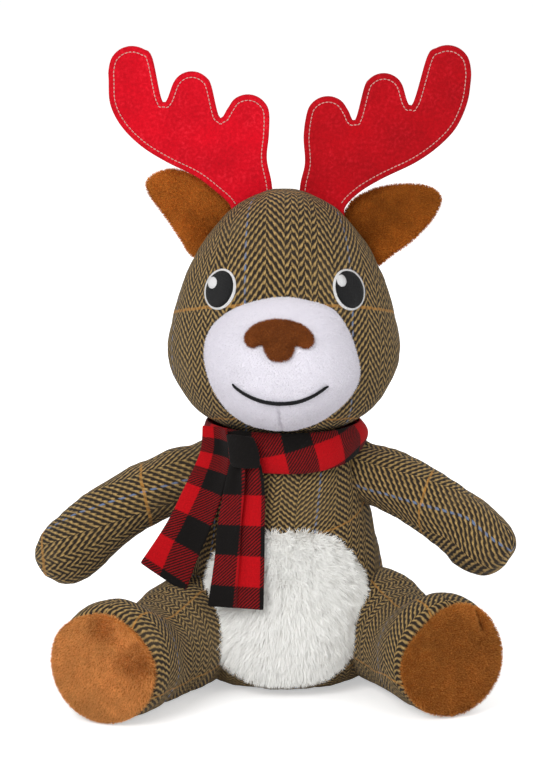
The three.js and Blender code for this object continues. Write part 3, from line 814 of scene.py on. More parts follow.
def armCloth(side):  # straight cloth laid on each bent panel
    def clothAt(radius, along, angle, reach, middle):
        straight = min(along, arms["straight"][side])
        bent = straight / arms["bend"]
        rise = radius * (math.pi / 2 - abs(angle))
        u = -arms["bend"] * (1 - math.cos(bent)) + rise * math.cos(bent)
        v = arms["bend"] * math.sin(bent) + rise * math.sin(bent) + along - straight
        return (u, v if middle > 0 else v + arms["under"])
    return clothAt


def legCloth(side):  # columns run round the leg
    def clothAt(radius, along, angle, reach, middle):
        return (along, legs["girth"] * angle + (0 if middle > 0 else legs["under"]))
    return clothAt


limbPieces = {}
for side in sides:
    for label, values, cloth in (("arm", arms, armCloth), ("leg", legs, legCloth)):
        name = side + label.capitalize()
        laid = [values[key][side] for key in ("shift", "stretch", "lines")]
        material = tweedMaterial(name + "Tweed", *laid)
        piece = turnedForm(name, curveThrough(values["profile"], values["cell"]), values["sides"],
                           limbPlace(values, side), cloth(side), material)
        turn, pivot = limbTurn(values, side), Vector(values["pivot"][side])

        def onSeam(p, turn=turn, pivot=pivot):
            local = turn.inverted() @ (p - pivot)
            return abs(local.y) < 0.5 or local.x < 2

        startSlack(piece, onSeam)
        limbPieces[side, label] = piece


dents = {"size": 11, "head": 0.45, "rest": 0.7}  # soft dents in the cloth, in millimetres


def crumple(piece, depth):
    def dent(vertex):
        return depth * min(max(noise.fractal(vertex.co / mm / dents["size"], 1.0, 2.0, 3), -1), 1)
    push(piece, dent)


stuffed = [bodyPiece, headPiece, *limbPieces.values()]
inflate(stuffed)
for piece in stuffed:
    finer(piece, 2)
    crumple(piece, dents["head"] if piece is headPiece else dents["rest"])
print("stuffed pieces made")


# Sewn-on pieces: a flat outline filled with an even net and laid on what is under it

def smoothLoop(points, spacing):  # closed smooth line through the points, in even steps
    dense = []
    count = len(points)
    for i in range(count):
        dense += smoothRun([points[(i + k) % count] for k in (-1, 0, 1, 2)], 16)
    return evenLoop(dense, spacing)


def evenLoop(dense, spacing):
    ends = dense[1:] + dense[:1]
    lengths = [(b - a).length for a, b in zip(dense, ends)]
    total = sum(lengths)
    count = max(8, round(total / spacing))
    loop, at, passed = [], 0, 0
    for i in range(count):
        want = total * i / count
        while passed + lengths[at] < want:
            passed += lengths[at]
            at += 1
        loop.append(dense[at].lerp(ends[at], (want - passed) / (lengths[at] or 1)))
    return loop


def ellipseLoop(centre, wide, tall, lean, spacing):
    count = max(16, round(math.pi * (wide + tall) / 2 / spacing))
    turn = Matrix.Rotation(math.radians(lean), 2)
    loop = []
    for i in range(count):
        angle = 2 * math.pi * i / count
        loop.append(turn @ Vector((wide / 2 * math.cos(angle), tall / 2 * math.sin(angle))) + Vector(centre))
    return loop


def edgeDistance(point, loop):
    best = 1e9
    for a, b in zip(loop, loop[1:] + loop[:1]):
        side = b - a
        t = min(max((point - a).dot(side) / side.length_squared, 0), 1)
        best = min(best, (point - a - side * t).length_squared)
    return math.sqrt(best)


def inside(point, loop):
    odd = False
    for a, b in zip(loop, loop[1:] + loop[:1]):
        if (a.y > point.y) != (b.y > point.y) and point.x < a.x + (b.x - a.x) * (point.y - a.y) / (b.y - a.y):
            odd = not odd
    return odd


def evenNet(loop, cell):
    low = Vector((min(p.x for p in loop), min(p.y for p in loop)))
    high = Vector((max(p.x for p in loop), max(p.y for p in loop)))
    points, far = list(loop), [0] * len(loop)
    row, y = 0, low.y + cell / 2
    while y < high.y:
        x = low.x + (cell / 2 if row % 2 else 0)
        while x < high.x:
            spot = Vector((x, y))
            if inside(spot, loop):
                gap = edgeDistance(spot, loop)
                if gap > 0.55 * cell:
                    points.append(spot)
                    far.append(gap)
            x += cell
        row += 1
        y += cell * 0.866
    rim = [(i, (i + 1) % len(loop)) for i in range(len(loop))]
    faces = []
    for face in delaunay_2d_cdt(points, rim, [], 1, 1e-5, False)[2]:
        if inside(sum((points[i] for i in face), Vector((0, 0))) / 3, loop):
            faces.append(tuple(face))
    return points, far, faces


# front and back take the distance from the edge and the point, and give the height each side of place

def patch(name, loop, cell, place, front, back, material, comb=None, growBack=0, fringe=None):
    points, far, faces = evenNet(loop, cell)
    count, rim = len(points), len(loop)
    verts = [place(p.x, p.y, front(d, p)) for p, d in zip(points, far)]
    verts += [place(p.x, p.y, -back(d, p)) for p, d in zip(points, far)]
    every = [*faces, *[tuple(i + count for i in reversed(face)) for face in faces]]
    every += [((i + 1) % rim, i, i + count, (i + 1) % rim + count) for i in range(rim)]
    cloth = [tuple(p) for p in points] * 2
    piece = newPiece(name, verts, every, [[cloth[i] for i in face] for face in every], material)
    lengths = [fringe(p, d) if fringe else 1.0 for p, d in zip(points, far)]
    for label, amounts in (("grow", [1.0] * count + [float(growBack)] * count), ("reach", lengths * 2)):
        piece.data.attributes.new(label, "FLOAT", "POINT").data.foreach_set("value", amounts)
    combed = [comb(p) if comb else Vector() for p in points] * 2
    lay = piece.data.attributes.new("comb", "FLOAT_VECTOR", "POINT")
    lay.data.foreach_set("vector", [c for v in combed for c in v])
    return piece


def frontOf(piece):  # the front of a piece at x and z, and which way it faces
    mesh = piece.data
    tree = BVHTree.FromPolygons([v.co / mm for v in mesh.vertices], [p.vertices[:] for p in mesh.polygons])

    def at(x, z):
        spot, normal = tree.ray_cast(Vector((x, -400, z)), Vector((0, 1, 0)))[:2]
        if spot is None:
            spot, normal = tree.find_nearest(Vector((x, -40, z)))[:2]
        return spot, normal
    return at


def laidOn(at):  # height stands straight off the surface
    def place(x, z, height):
        spot, normal = at(x, z)
        return spot + normal * height
    return place


# Pile and stitches, each a geometry tree whose strands become the piece's own mesh

def newTree(name, inputs):
    tree = bpy.data.node_groups.new(name, "GeometryNodeTree")
    tree.interface.new_socket("Geometry", in_out="INPUT", socket_type="NodeSocketGeometry")
    for label, kind in inputs:
        tree.interface.new_socket(label, in_out="INPUT", socket_type=kind)
    tree.interface.new_socket("Geometry", in_out="OUTPUT", socket_type="NodeSocketGeometry")
    return Wiring(tree), tree.nodes.new("NodeGroupInput").outputs, tree.nodes.new("NodeGroupOutput").inputs


def spun(wires, turn, axis, angle, space):
    spin = wires.made("FunctionNodeAxisAngleToRotation", {"Axis": axis, "Angle": angle})
    turns = {"Rotation": turn, "Rotate By": spin}
    return wires.made("FunctionNodeRotateRotation", turns, rotation_space=space)


def placed(wires, points, shape, turn, size, material):  # a copy of the shape at each point, made real
    form = wires.node("GeometryNodeObjectInfo", {"Object": shape}).outputs["Geometry"]
    copies = wires.made("GeometryNodeInstanceOnPoints", {
        "Points": points, "Instance": form, "Rotation": turn, "Scale": size,
    })
    real = wires.made("GeometryNodeRealizeInstances", {"Geometry": copies})
    return wires.made("GeometryNodeSetMaterial", {"Geometry": real, "Material": material})


def pileTree():
    wires, given, out = newTree("pile", [  # the last two are the blade and what it is made of
        ("Density", "NodeSocketFloat"), ("Length", "NodeSocketFloat"), ("Width", "NodeSocketFloat"),
        ("Scatter", "NodeSocketFloat"), ("Clump", "NodeSocketFloat"), ("Seed", "NodeSocketInt"),
        ("Strand", "NodeSocketObject"), ("Material", "NodeSocketMaterial"),
    ])
    grow = wires.made("GeometryNodeInputNamedAttribute", {"Name": "grow"})
    lay = wires.made("GeometryNodeInputNamedAttribute", {"Name": "comb"}, data_type="FLOAT_VECTOR")
    density = wires.times(grow, given["Density"])
    points = wires.node("GeometryNodeDistributePointsOnFaces", {
        "Mesh": given["Geometry"], "Density": density, "Seed": given["Seed"],
    })

    def chance(low, high, seed):
        made = wires.node("FunctionNodeRandomValue", {"Seed": seed}, data_type="FLOAT")
        wires.feed(made.inputs[2], low)
        wires.feed(made.inputs[3], high)
        return made.outputs[1]

    def vector(operation, a, b, scale=None):
        made = wires.node("ShaderNodeVectorMath", operation=operation)
        wires.feed(made.inputs[0], a)
        wires.feed(made.inputs[1], b)
        wires.feed(made.inputs[3], scale)
        return made.outputs[0]

    stray = wires.node("FunctionNodeRandomValue", {"Seed": 11}, data_type="FLOAT_VECTOR")
    wires.feed(stray.inputs[0], (-1, -1, -1))
    wires.feed(stray.inputs[1], (1, 1, 1))
    spot = wires.made("GeometryNodeInputPosition")
    locks = wires.node("ShaderNodeTexNoise", {"Vector": spot, "Scale": 260.0, "Detail": 1.0}).outputs["Color"]
    locks = vector("SUBTRACT", locks, (0.5, 0.5, 0.5))
    lean = vector("ADD", points.outputs["Normal"], lay)
    lean = vector("ADD", lean, vector("SCALE", stray.outputs[0], None, given["Scatter"]))
    lean = vector("ADD", lean, vector("SCALE", locks, None, given["Clump"]))
    turn = wires.made("FunctionNodeAlignRotationToVector", {"Vector": lean}, axis="Z")
    turn = wires.made("FunctionNodeAlignRotationToVector", {
        "Rotation": turn, "Vector": points.outputs["Normal"],
    }, axis="Y", pivot_axis="Z")  # the broad side of each blade looks outward
    turn = spun(wires, turn, (0, 0, 1), chance(-0.5, 0.5, 3), "LOCAL")
    reach = wires.times(given["Length"], chance(0.62, 1.08, 5))
    reach = wires.times(reach, wires.made("GeometryNodeInputNamedAttribute", {"Name": "reach"}))
    size = wires.made("ShaderNodeCombineXYZ", {"X": given["Width"], "Y": reach, "Z": reach})
    named = wires.made("GeometryNodeStoreNamedAttribute", {
        "Geometry": points.outputs["Points"], "Name": "tuft", "Value": chance(-0.5, 0.5, 7),
    }, data_type="FLOAT", domain="POINT")
    dyed = placed(wires, named, given["Strand"], turn, size, given["Material"])
    joined = wires.node("GeometryNodeJoinGeometry")
    wires.feed(joined.inputs[0], given["Geometry"])
    wires.feed(joined.inputs[0], dyed)
    wires.feed(out["Geometry"], joined.outputs[0])
    return wires.tree


def stitchTree():
    wires, given, out = newTree("stitches", [
        ("Pitch", "NodeSocketFloat"), ("Turn", "NodeSocketFloat"), ("Taper", "NodeSocketFloat"),
        ("Stitch", "NodeSocketObject"), ("Material", "NodeSocketMaterial"),
    ])
    line = wires.made("GeometryNodeMeshToCurve", {"Mesh": given["Geometry"]})
    even = wires.made("GeometryNodeResampleCurve", {"Curve": line, "Length": given["Pitch"]}, mode="LENGTH")
    along = wires.made("GeometryNodeInputTangent")
    turn = wires.made("FunctionNodeAlignRotationToVector", {"Vector": along}, axis="X")
    turn = spun(wires, turn, (0, 1, 0), given["Turn"], "GLOBAL")
    share = wires.node("GeometryNodeSplineParameter").outputs["Factor"]
    away = wires.math("ABSOLUTE", wires.scaled(share, 2, -1))
    thin = wires.minus(1, wires.times(given["Taper"], wires.math("POWER", away, 2)))
    size = wires.made("ShaderNodeCombineXYZ", {"X": 1, "Y": thin, "Z": thin})
    wires.feed(out["Geometry"], placed(wires, even, given["Stitch"], turn, size, given["Material"]))
    return wires.tree


pile, stitching = pileTree(), stitchTree()


def grown(piece, tree, values):
    modifier = piece.modifiers.new(tree.name, "NODES")
    modifier.node_group = tree
    for item in tree.interface.items_tree:
        if item.in_out == "INPUT" and item.name in values:
            modifier[item.identifier] = values[item.name]
    return settled(piece)


def furred(piece, values, strand):  # pile in the piece's own material
    return grown(piece, pile, {**values, "Strand": strand, "Material": piece.data.materials[0]})


def strandShape(name, steps, curl):  # a blade one unit long that narrows to its tip
    verts, faces, tips = [], [], []
    for i in range(steps):
        t = i / steps
        wide = 0.5 * (1 - t ** 2)
        verts += [(-wide, curl * t * t, t), (wide, curl * t * t, t)]
        tips += [t, t]
    verts.append((0, curl, 1))
    tips.append(1)
    for i in range(steps - 1):
        faces.append((2 * i, 2 * i + 1, 2 * i + 3, 2 * i + 2))
    faces.append((2 * steps - 2, 2 * steps - 1, 2 * steps))
    mesh = bpy.data.meshes.new(name)
    mesh.from_pydata(verts, [], faces)
    mesh.attributes.new("tip", "FLOAT", "POINT").data.foreach_set("value", tips)
    shape = bpy.data.objects.new(name, mesh)
    scene.collection.objects.link(shape)
    return shape


def stitchShape(name, length, width, high):  # one rounded stitch along x
    verts, faces = [], []
    rings = [(-0.5, 0.25), (-0.36, 0.8), (0, 1), (0.36, 0.8), (0.5, 0.25)]
    for along, swell in rings:
        for j in range(8):
            angle = 2 * math.pi * j / 8
            y, z = swell * high / 2 * math.cos(angle), swell * width / 2 * math.sin(angle)
            verts.append((along * length, y, z))
    for i in range(4):
        for j in range(8):
            k = (j + 1) % 8
            faces.append((8 * i + j, 8 * i + k, 8 * i + 8 + k, 8 * i + 8 + j))
    faces += [tuple(range(8)), tuple(range(32, 40))]
    cloth = [[(verts[i][0], verts[i][2]) for i in face] for face in faces]
    return newPiece(name, verts, faces, cloth, stitchThread)


shortStrand = strandShape("shortStrand", 2, 0.35)
longStrand = strandShape("longStrand", 3, -0.25)
print("pile and stitch trees made")


# Muzzle: short white plush that bulges from the head, with a fine chin seam

muzzle = {
    "outline": [(-18.2, 179), (-6, 182.4), (5, 182.4), (20.4, 177.5), (28, 167.5), (32, 156), (33, 146),
                (28, 136), (16.6, 126.5), (7, 122.4), (-0.6, 121.2), (-8.6, 122.2), (-17, 124.6),
                (-25.8, 131.8), (-32.8, 144), (-35.4, 157), (-32.8, 167), (-26.6, 174)],
    "bulge": 15.5,
    "roll": 25,  # how far from the edge the bulge is reached
    "seamTop": (-2.9, 137),
    "seamEnd": (-0.5, 121),
    "creaseWidth": 0.8,
    "creaseDepth": 2.0,
    "cell": 1.25,
    "pile": {"Density": 1e7, "Length": 0.0007, "Width": 0.0002, "Scatter": 0.4, "Clump": 0.5, "Seed": 2},
}
onHead = frontOf(headPiece)


def muzzlePlace(x, z, height):
    return onHead(x, z)[0] + Vector((0, -1, 0)) * height


def muzzleFront(gap, p):
    t = min((gap + 0.4) / muzzle["roll"], 1)
    high = muzzle["bulge"] * (1 - (1 - t) ** 2) ** 0.62
    top, end = Vector(muzzle["seamTop"]), Vector(muzzle["seamEnd"])
    t = (top.y - p.y) / (top.y - end.y)
    middle = top.x + (end.x - top.x) * t
    crease = math.exp(-((p.x - middle) / muzzle["creaseWidth"]) ** 2) * min(max(t * 5, 0), 1)
    return high - muzzle["creaseDepth"] * crease


muzzlePiece = patch("muzzle", smoothLoop(muzzle["outline"], 1.6), muzzle["cell"], muzzlePlace, muzzleFront,
                    lambda gap, p: 1.2, whitePlush, lambda p: Vector((0, 0, -1)))
onMuzzle = frontOf(muzzlePiece)
furred(muzzlePiece, muzzle["pile"], shortStrand)

# Nose: brushed felt, broad above with a short stem below

nose = {
    "half": [(0, 174.6), (8.6, 172.8), (13.4, 169.2), (14.3, 166), (11.8, 163.9), (7, 165.2),
             (5.6, 162), (3.7, 159.6), (0, 158.9)],
    "middle": -2.4,
    "crown": 3.6,
    "cell": 0.9,
    "pile": {"Density": 2.2e7, "Length": 0.0011, "Width": 0.00014, "Scatter": 0.9, "Clump": 0.8, "Seed": 4},
}
noseHalf = nose["half"] + [(-x, z) for x, z in reversed(nose["half"][1:-1])]
noseLoop = smoothLoop([(x + nose["middle"], z) for x, z in noseHalf], 0.8)


def noseFront(gap, p):
    t = min((gap + 0.3) / 7, 1)
    return 0.4 + nose["crown"] * (1 - (1 - t) ** 2) ** 0.5


nosePiece = patch("nose", noseLoop, nose["cell"], laidOn(onMuzzle), noseFront, lambda gap, p: 0.8, noseFelt)
furred(nosePiece, nose["pile"], shortStrand)

# Mouth: one arc of stem stitch

mouth = {
    "middle": -2.0,
    "radius": 32,
    "spread": 37.5,
    "bottom": 139.4,
    "raise": 0.75,
    "stitch": (3.2, 1.8, 1.8),
    "sewing": {"Pitch": 0.0014, "Turn": math.radians(12), "Taper": 0.35},
}


def stitchLine(name, spots, shape, values, material):
    mesh = bpy.data.meshes.new(name)
    mesh.from_pydata([spot * mm for spot in spots], [(i, i + 1) for i in range(len(spots) - 1)], [])
    piece = bpy.data.objects.new(name, mesh)
    scene.collection.objects.link(piece)
    return outward(grown(piece, stitching, {**values, "Stitch": shape, "Material": material}))


mouthSpots = []
for i in range(61):
    angle = math.radians(mouth["spread"]) * (i / 30 - 1)
    x = mouth["middle"] + mouth["radius"] * math.sin(angle)
    z = mouth["bottom"] + mouth["radius"] * (1 - math.cos(angle))
    spot, normal = onMuzzle(x, z)
    mouthSpots.append(spot + normal * mouth["raise"])
mouthStitch = stitchShape("mouthStitch", *mouth["stitch"])
mouthPiece = stitchLine("mouth", mouthSpots, mouthStitch, mouth["sewing"], blackThread)

# Eyes: embroidered in layers, a white rim, a black pupil and a white glint

eyes = {
    "middle": {"left": (-28.2, 184.4), "right": (28.3, 184.2)},
    "wide": {"left": 12.8, "right": 13.2},
    "tall": 18.2,
    "lean": 25,
    "rim": 0.95,
    "glint": {"left": (-31.0, 186.6), "right": (24.6, 188.2)},
    "glintSize": (3.7, 5.1),
    "high": {"rim": 0.7, "pupil": 1.2, "glint": 1.6},
    "rounded": (0.35, 0.8),  # how deep and how wide the edge falls off
    "cell": 0.8,
}
eyePieces = {}
for side, sign in sides.items():
    middle, lean = eyes["middle"][side], sign * eyes["lean"]
    wide, tall = eyes["wide"][side], eyes["tall"]
    inset = 2 * eyes["rim"]
    layers = [
        ("rim", ellipseLoop(middle, wide, tall, lean, 0.6), whiteThread),
        ("pupil", ellipseLoop(middle, wide - inset, tall - inset, lean, 0.6), blackThread),
        ("glint", ellipseLoop(eyes["glint"][side], *eyes["glintSize"], lean, 0.4), whiteThread),
    ]
    for label, loop, material in layers:
        def domed(gap, p, high=eyes["high"][label]):
            depth, width = eyes["rounded"]
            return high - depth * max(1 - gap / width, 0) ** 2

        eyePieces[side, label] = patch(side + "Eye" + label.capitalize(), loop, eyes["cell"], laidOn(onHead),
                                       domed, lambda gap, p: 0.5, material)
print("face made")

# Ears: brown plush leaves, cupped to the front, with the root tucked into the head

ears = {
    "outline": {
        "right": [(26, 205), (30, 215.5), (37, 220.5), (46, 223.4), (57, 224.2), (66, 222.4), (70, 218),
                  (68.4, 212.6), (64.6, 206.6), (56.7, 198.6), (48.2, 192.6), (41, 187.6), (33, 190)],
        "left": [(-25, 206), (-23.2, 216), (-29, 221.6), (-35, 225.6), (-42, 229), (-49.5, 230.9),
                 (-56.5, 229.4), (-61.2, 225.6), (-60.6, 221), (-57, 215.4), (-51.6, 208), (-45.6, 199),
                 (-40.6, 192), (-32, 193)],
    },
    "back": 11.5,
    "cup": 4.2,
    "thick": 2.0,
    "roll": 4.5,
    "fold": {"right": ((33, 196), (54, 207)), "left": ((-31, 200), (-47, 215))},  # the pinched crease
    "foldWidth": 5.5,
    "foldFade": 0.75,
    "combed": 1.2,
    "cell": 1.8,
    "pile": {"Density": 1.1e7, "Length": 0.0014, "Width": 0.00024, "Scatter": 0.6, "Clump": 0.8, "Seed": 6},
}
earPieces = {}
for side in sides:
    root, tip = (Vector(p) for p in ears["fold"][side])
    crease = tip - root

    def foldDepth(p, root=root, crease=crease):
        t = min(max((p - root).dot(crease) / crease.length_squared, 0), 1)
        away = (p - root - crease * t).length
        return math.exp(-(away / ears["foldWidth"]) ** 2) * (1 - ears["foldFade"] * t)

    def earPlace(x, z, height, foldDepth=foldDepth):
        return Vector((x, ears["back"] + ears["cup"] * foldDepth(Vector((x, z))) - height, z))

    def earFace(gap, p):
        t = min((gap + 0.25) / ears["roll"], 1)
        return ears["thick"] * (1 - (1 - t) ** 2) ** 0.5

    def earComb(p, root=root):
        out = (p - root).normalized() * ears["combed"]
        return Vector((out.x, 0, out.y))

    loop = smoothLoop(ears["outline"][side], ears["cell"])
    earPieces[side] = patch(side + "Ear", loop, ears["cell"], earPlace, earFace, earFace, earPlushesWithShadedRight[side],
                            earComb, 1)
    furred(earPieces[side], ears["pile"], shortStrand)
print("ears made")

# Antlers: two layers of felt sewn together near the edge, three rounded tines each

antlers = {
    "tines": {  # centre and radius of each rounded end, inner to outer
        "right": [((19.4, 255.6), 9.6), ((44.2, 266.4), 9.1), ((72.4, 277.6), 10.4)],
        "left": [((-16.2, 256.4), 9.6), ((-41.1, 267.2), 9.1), ((-67.6, 277.2), 10.4)],
    },
    "valleys": {"right": [(31.5, 254.4), (56.7, 261.1)], "left": [(-28.8, 255.7), (-53.9, 262.4)]},
    "outer": {
        "right": [(82.8, 272), (81.2, 262), (76.4, 251.2), (68.5, 242.7), (58.3, 235.5), (43.6, 228.3),
                  (33.4, 222), (27, 215), (26, 207)],
        "left": [(-78, 273), (-77.4, 262), (-72.6, 252.1), (-63.8, 243.1), (-52.5, 235.9), (-39.8, 229.6),
                 (-30.9, 222.9), (-24, 216), (-22.5, 207)],
    },
    "inner": {
        "right": [(7, 207), (7, 224), (9.2, 235), (8.6, 247)],
        "left": [(-4.8, 207), (-5.4, 224.7), (-7.7, 237), (-6.8, 248)],
    },
    "arcs": [(172, 20), (162, 26), (150, 0)],  # the part of its circle that each tine shows, in degrees
    "back": 4.55,
    "felt": 1.4,
    "gap": 0.3,
    "pucker": (0.28, 0.9),  # depth and width along the sewing
    "cutEdge": (0.3, 0.7),  # depth and width where the felt was cut
    "cell": 1.5,
    "inset": 2.4,
    "sewnFrom": 217,  # the sewing is open at the root, below this height
    "stitch": (1.45, 0.5, 0.5),
    "sewing": {"Pitch": 0.0018, "Turn": 0.0, "Taper": 0.0},
}


def antlerLoop(side, sign):
    points = list(antlers["inner"][side])
    valleys = [[valley] for valley in antlers["valleys"][side]] + [[]]
    for ((x, z), radius), (start, stop), valley in zip(antlers["tines"][side], antlers["arcs"], valleys):
        for step in range(6):
            angle = math.radians(start + (stop - start) * step / 5)
            points.append((x + sign * radius * math.cos(angle), z + radius * math.sin(angle)))
        points += valley
    return smoothLoop(points + antlers["outer"][side], antlers["cell"])


def insetLine(loop, inset, lowest):  # the sewing line, inside the edge
    spots = []
    count = len(loop)
    turn = 0.5 * sum(a.x * b.y - b.x * a.y for a, b in zip(loop, loop[1:] + loop[:1]))
    for i in range(count):
        run = (loop[(i + 1) % count] - loop[i - 1]).normalized()
        inward = Vector((-run.y, run.x)) * math.copysign(1, turn)
        spot = loop[i] + inward * inset
        if edgeDistance(spot, loop) > inset - 0.1 and spot.y > lowest:
            spots.append(spot)
    return spots


def feltFace(gap, p):  # drawn in along the sewing, thinner at the cut edge
    (depth, width), (thinner, rim) = antlers["pucker"], antlers["cutEdge"]
    pucker = depth * math.exp(-((gap - antlers["inset"]) / width) ** 2)
    return antlers["felt"] / 2 - thinner * max(1 - gap / rim, 0) - pucker


def plainFace(gap, p):
    return antlers["felt"] / 2


antlerPieces, sewingPieces = {}, {}
seamStitch = stitchShape("seamStitch", *antlers["stitch"])
layers = {"Front": (-1, feltFace, plainFace), "Back": (1, plainFace, feltFace)}
for side, sign in sides.items():
    loop = antlerLoop(side, sign)
    for layer, (sense, front, back) in layers.items():
        def antlerPlace(x, z, height, offset=sense * 0.5):
            return Vector((x, antlers["back"] + offset * (antlers["felt"] + antlers["gap"]) - height, z))

        antlerPieces[side, layer] = patch(side + "Antler" + layer, loop, antlers["cell"], antlerPlace,
                                          front, back, redFeltsWithShadedRight[side])
    line = insetLine(loop, antlers["inset"], antlers["sewnFrom"])
    for layer, (sense, front, back) in layers.items():
        spots = [Vector((p.x, antlers["back"] + sense * (antlers["felt"] - 0.02), p.y)) for p in line]
        sewingPieces[side, layer] = stitchLine(side + "Sewing" + layer, spots, seamStitch, antlers["sewing"],
                                               stitchThread)
print("antlers made")

# Foot pads: brown plush discs sewn into the end of each leg

pads = {
    "radius": 23.9,
    "crown": 4.4,
    "end": 78.9,
    "flat": {"left": [(0.05, 50), (-0.05, 145)], "right": [(0.11, 132), (-0.09, 68)]},  # share, at degrees
    "nap": {"left": (0, -0.3, -1.3), "right": (0, 0.5, 0.6)},  # which way the pile is brushed
    "ruffled": {  # where the pile stands up, and how far round
        "left": [((17, 4), 8), ((2, 19), 6)],
        "right": [((9, -2), 10), ((21, 2), 9)],
    },
    "fold": ((11, 22), (13.2, 13.5)),  # a crease in the right pad
    "foldDepth": {"left": 0, "right": 3.6},
    "foldWidth": 1.4,
    "cell": 1.5,
    "pile": {"Density": 1.2e7, "Length": 0.0016, "Width": 0.00026, "Scatter": 0.5, "Clump": 0.9, "Seed": 8},
}
padPieces = {}
for side in sides:
    turn, pivot = limbTurn(legs, side), Vector(legs["pivot"][side])
    lean = math.tan(math.radians(legs["lean"][side]))

    def padPlace(x, z, height, turn=turn, pivot=pivot, lean=lean):
        spot = turn @ Vector((pads["end"] + height + x * lean, x, z)) + pivot
        spot.z = max(spot.z, 0.3)
        return spot

    def padFront(gap, p, side=side):
        t = min((gap + 0.3) / 16, 1)
        start, end = (Vector(q) for q in pads["fold"])
        share = min(max((p - start).dot(end - start) / (end - start).length_squared, 0), 1)
        away = (p - start.lerp(end, share)).length
        fold = pads["foldDepth"][side] * math.exp(-(away / pads["foldWidth"]) ** 2)
        return 0.2 + pads["crown"] * (1 - (1 - t) ** 2) ** 0.5 - fold

    def padComb(p, side=side, nap=turn @ Vector(pads["nap"][side])):
        flatness = 1
        for spot, size in pads["ruffled"][side]:
            flatness -= 0.85 * math.exp(-((p - Vector(spot)).length / size) ** 2)
        return nap * max(flatness, 0)

    loop = []
    for p in ellipseLoop((0, 0), 2 * pads["radius"], 2 * pads["radius"], 0, 2):
        scale = 1
        for flat, towards in pads["flat"][side]:
            line = Vector((math.cos(math.radians(towards)), math.sin(math.radians(towards))))
            scale -= flat * math.exp(-(math.degrees(p.angle(line)) / 32) ** 2)
        loop.append(p * scale)
    padPieces[side] = patch(side + "Pad", loop, pads["cell"], padPlace, padFront, lambda gap, p: 1.5,
                            padPlushesWithShadedRight[side], padComb)
    furred(padPieces[side], pads["pile"], shortStrand)
print("foot pads made")

# Belly patch: long white faux fur, combed down and parted by its own locks

belly = {
    "outline": [(-34.5, 43), (-31.5, 58), (-25, 68), (-14, 73.4), (-3, 75), (8, 75), (18, 72.6),
                (27, 65), (33.5, 55), (36, 44.5), (33.5, 32), (29, 21), (22, 13.5), (12, 9.4), (0, 8.2),
                (-12, 9.4), (-20, 14.4), (-27.5, 22.5), (-32, 32)],
    "middle": (2, 48),
    "fringe": 7,
    "spread": 0.034,
    "down": (0, -0.1, -1.1),
    "overLeg": (-29, 30),
    "overLegSize": 14,
    "overLegComb": (-1.2, -0.5, 0.5),
    "base": 0.6,
    "cell": 2.4,
    "pile": {"Density": 8.2e6, "Length": 0.0066, "Width": 0.00031, "Scatter": 0.5, "Clump": 2.8, "Seed": 10},
}


def overLeg(p):  # the fur by the left leg lies over it
    return math.exp(-((p - Vector(belly["overLeg"])).length / belly["overLegSize"]) ** 2)


def furComb(p):  # outward from the middle, and down
    out = (p - Vector(belly["middle"])) * belly["spread"]
    return Vector((out.x, 0, out.y)) + Vector(belly["down"]) + Vector(belly["overLegComb"]) * overLeg(p)


def furReach(p, d):  # shorter along the edge
    return min(1, 0.6 + d / belly["fringe"]) + 0.7 * overLeg(p)


bellyPiece = patch("belly", smoothLoop(belly["outline"], belly["cell"]), belly["cell"],
                   laidOn(frontOf(bodyPiece)), lambda gap, p: belly["base"], lambda gap, p: 0.8, whiteFur,
                   furComb, 0, furReach)
furred(bellyPiece, belly["pile"], longStrand)
print("belly fur made")


# Scarf: a strip of flannel round the neck, folded over itself where its two tails hang

scarf = {
    "thick": 1.0,
    "band": {
        "radius": 35.6,
        "depth": 0.92,
        "bottom": 101.4,
        "tall": 18.4,
        "bulge": 1.6,
        "rise": 5.5,  # drawn up on the right
        "bias": math.radians(13),
        "shift": (11.2, 4, 0),
        "steps": (96, 8),
        "flat": (18.4, 215),
    },
    "knot": {
        "left": [(-23.6, -35.4, 105.7), (-24.4, -35.4, 110), (-24.8, -34.2, 114.5), (-25.6, -31, 119.2)],
        "right": [(-11, -39.2, 105.7), (-10.8, -39.8, 110), (-11.6, -39, 114.5), (-13.6, -37, 119.2)],
        "shift": (26.75, 13.75, 0),
        "skew": 0,
        "gather": 0,
        "pull": 0.9,  # drawn tight over the fold
        "steps": (12, 14),
    },
    "front": {
        "left": [(-34.0, -47.6, 44.9), (-31, -43.6, 65), (-29.8, -39.6, 78.4), (-27.2, -37, 93),
                 (-24, -34.2, 107)],
        "right": [(-9.2, -49.6, 43.6), (-8.8, -44.6, 64), (-8.6, -40.4, 82), (-8.8, -37.4, 96),
                  (-10.6, -35, 107)],
        "shift": (15.5, 17.2, 0),
        "skew": 0,
        "gather": 0,
        "pull": 1,
        "steps": (34, 50),
        "flat": (26, 64),
        "bends": [(-17, -36, 106), (-18, -39, 88)],  # from where it is held to where it swings freely
    },
    "left": {
        "left": [(-64.4, -29, 59.9), (-52.7, -27, 77.2), (-45, -24, 91.8), (-37, -21.6, 108.6),
                 (-35.6, -19.5, 121)],
        "right": [(-44.1, -35, 47.4), (-39.2, -34.4, 61.7), (-33.3, -33.4, 75.3), (-26.8, -32.6, 93.5),
                  (-23.4, -30.6, 109.6), (-25, -28.5, 121)],
        "shift": (27.3, 23.2, 0),
        "skew": 0.04,
        "gather": 0.9,  # extra cloth in the roll by the knot
        "pull": 1,
        "steps": (36, 16),
        "flat": (22.5, 65),
        "bends": [(-31, -27, 118), (-36, -29, 94)],
    },
}


def sampled(points, count):
    line = [spot for spot, reach in curveThrough(points, 0.25)]
    return [line[round(i * (len(line) - 1) / count)] for i in range(count + 1)]


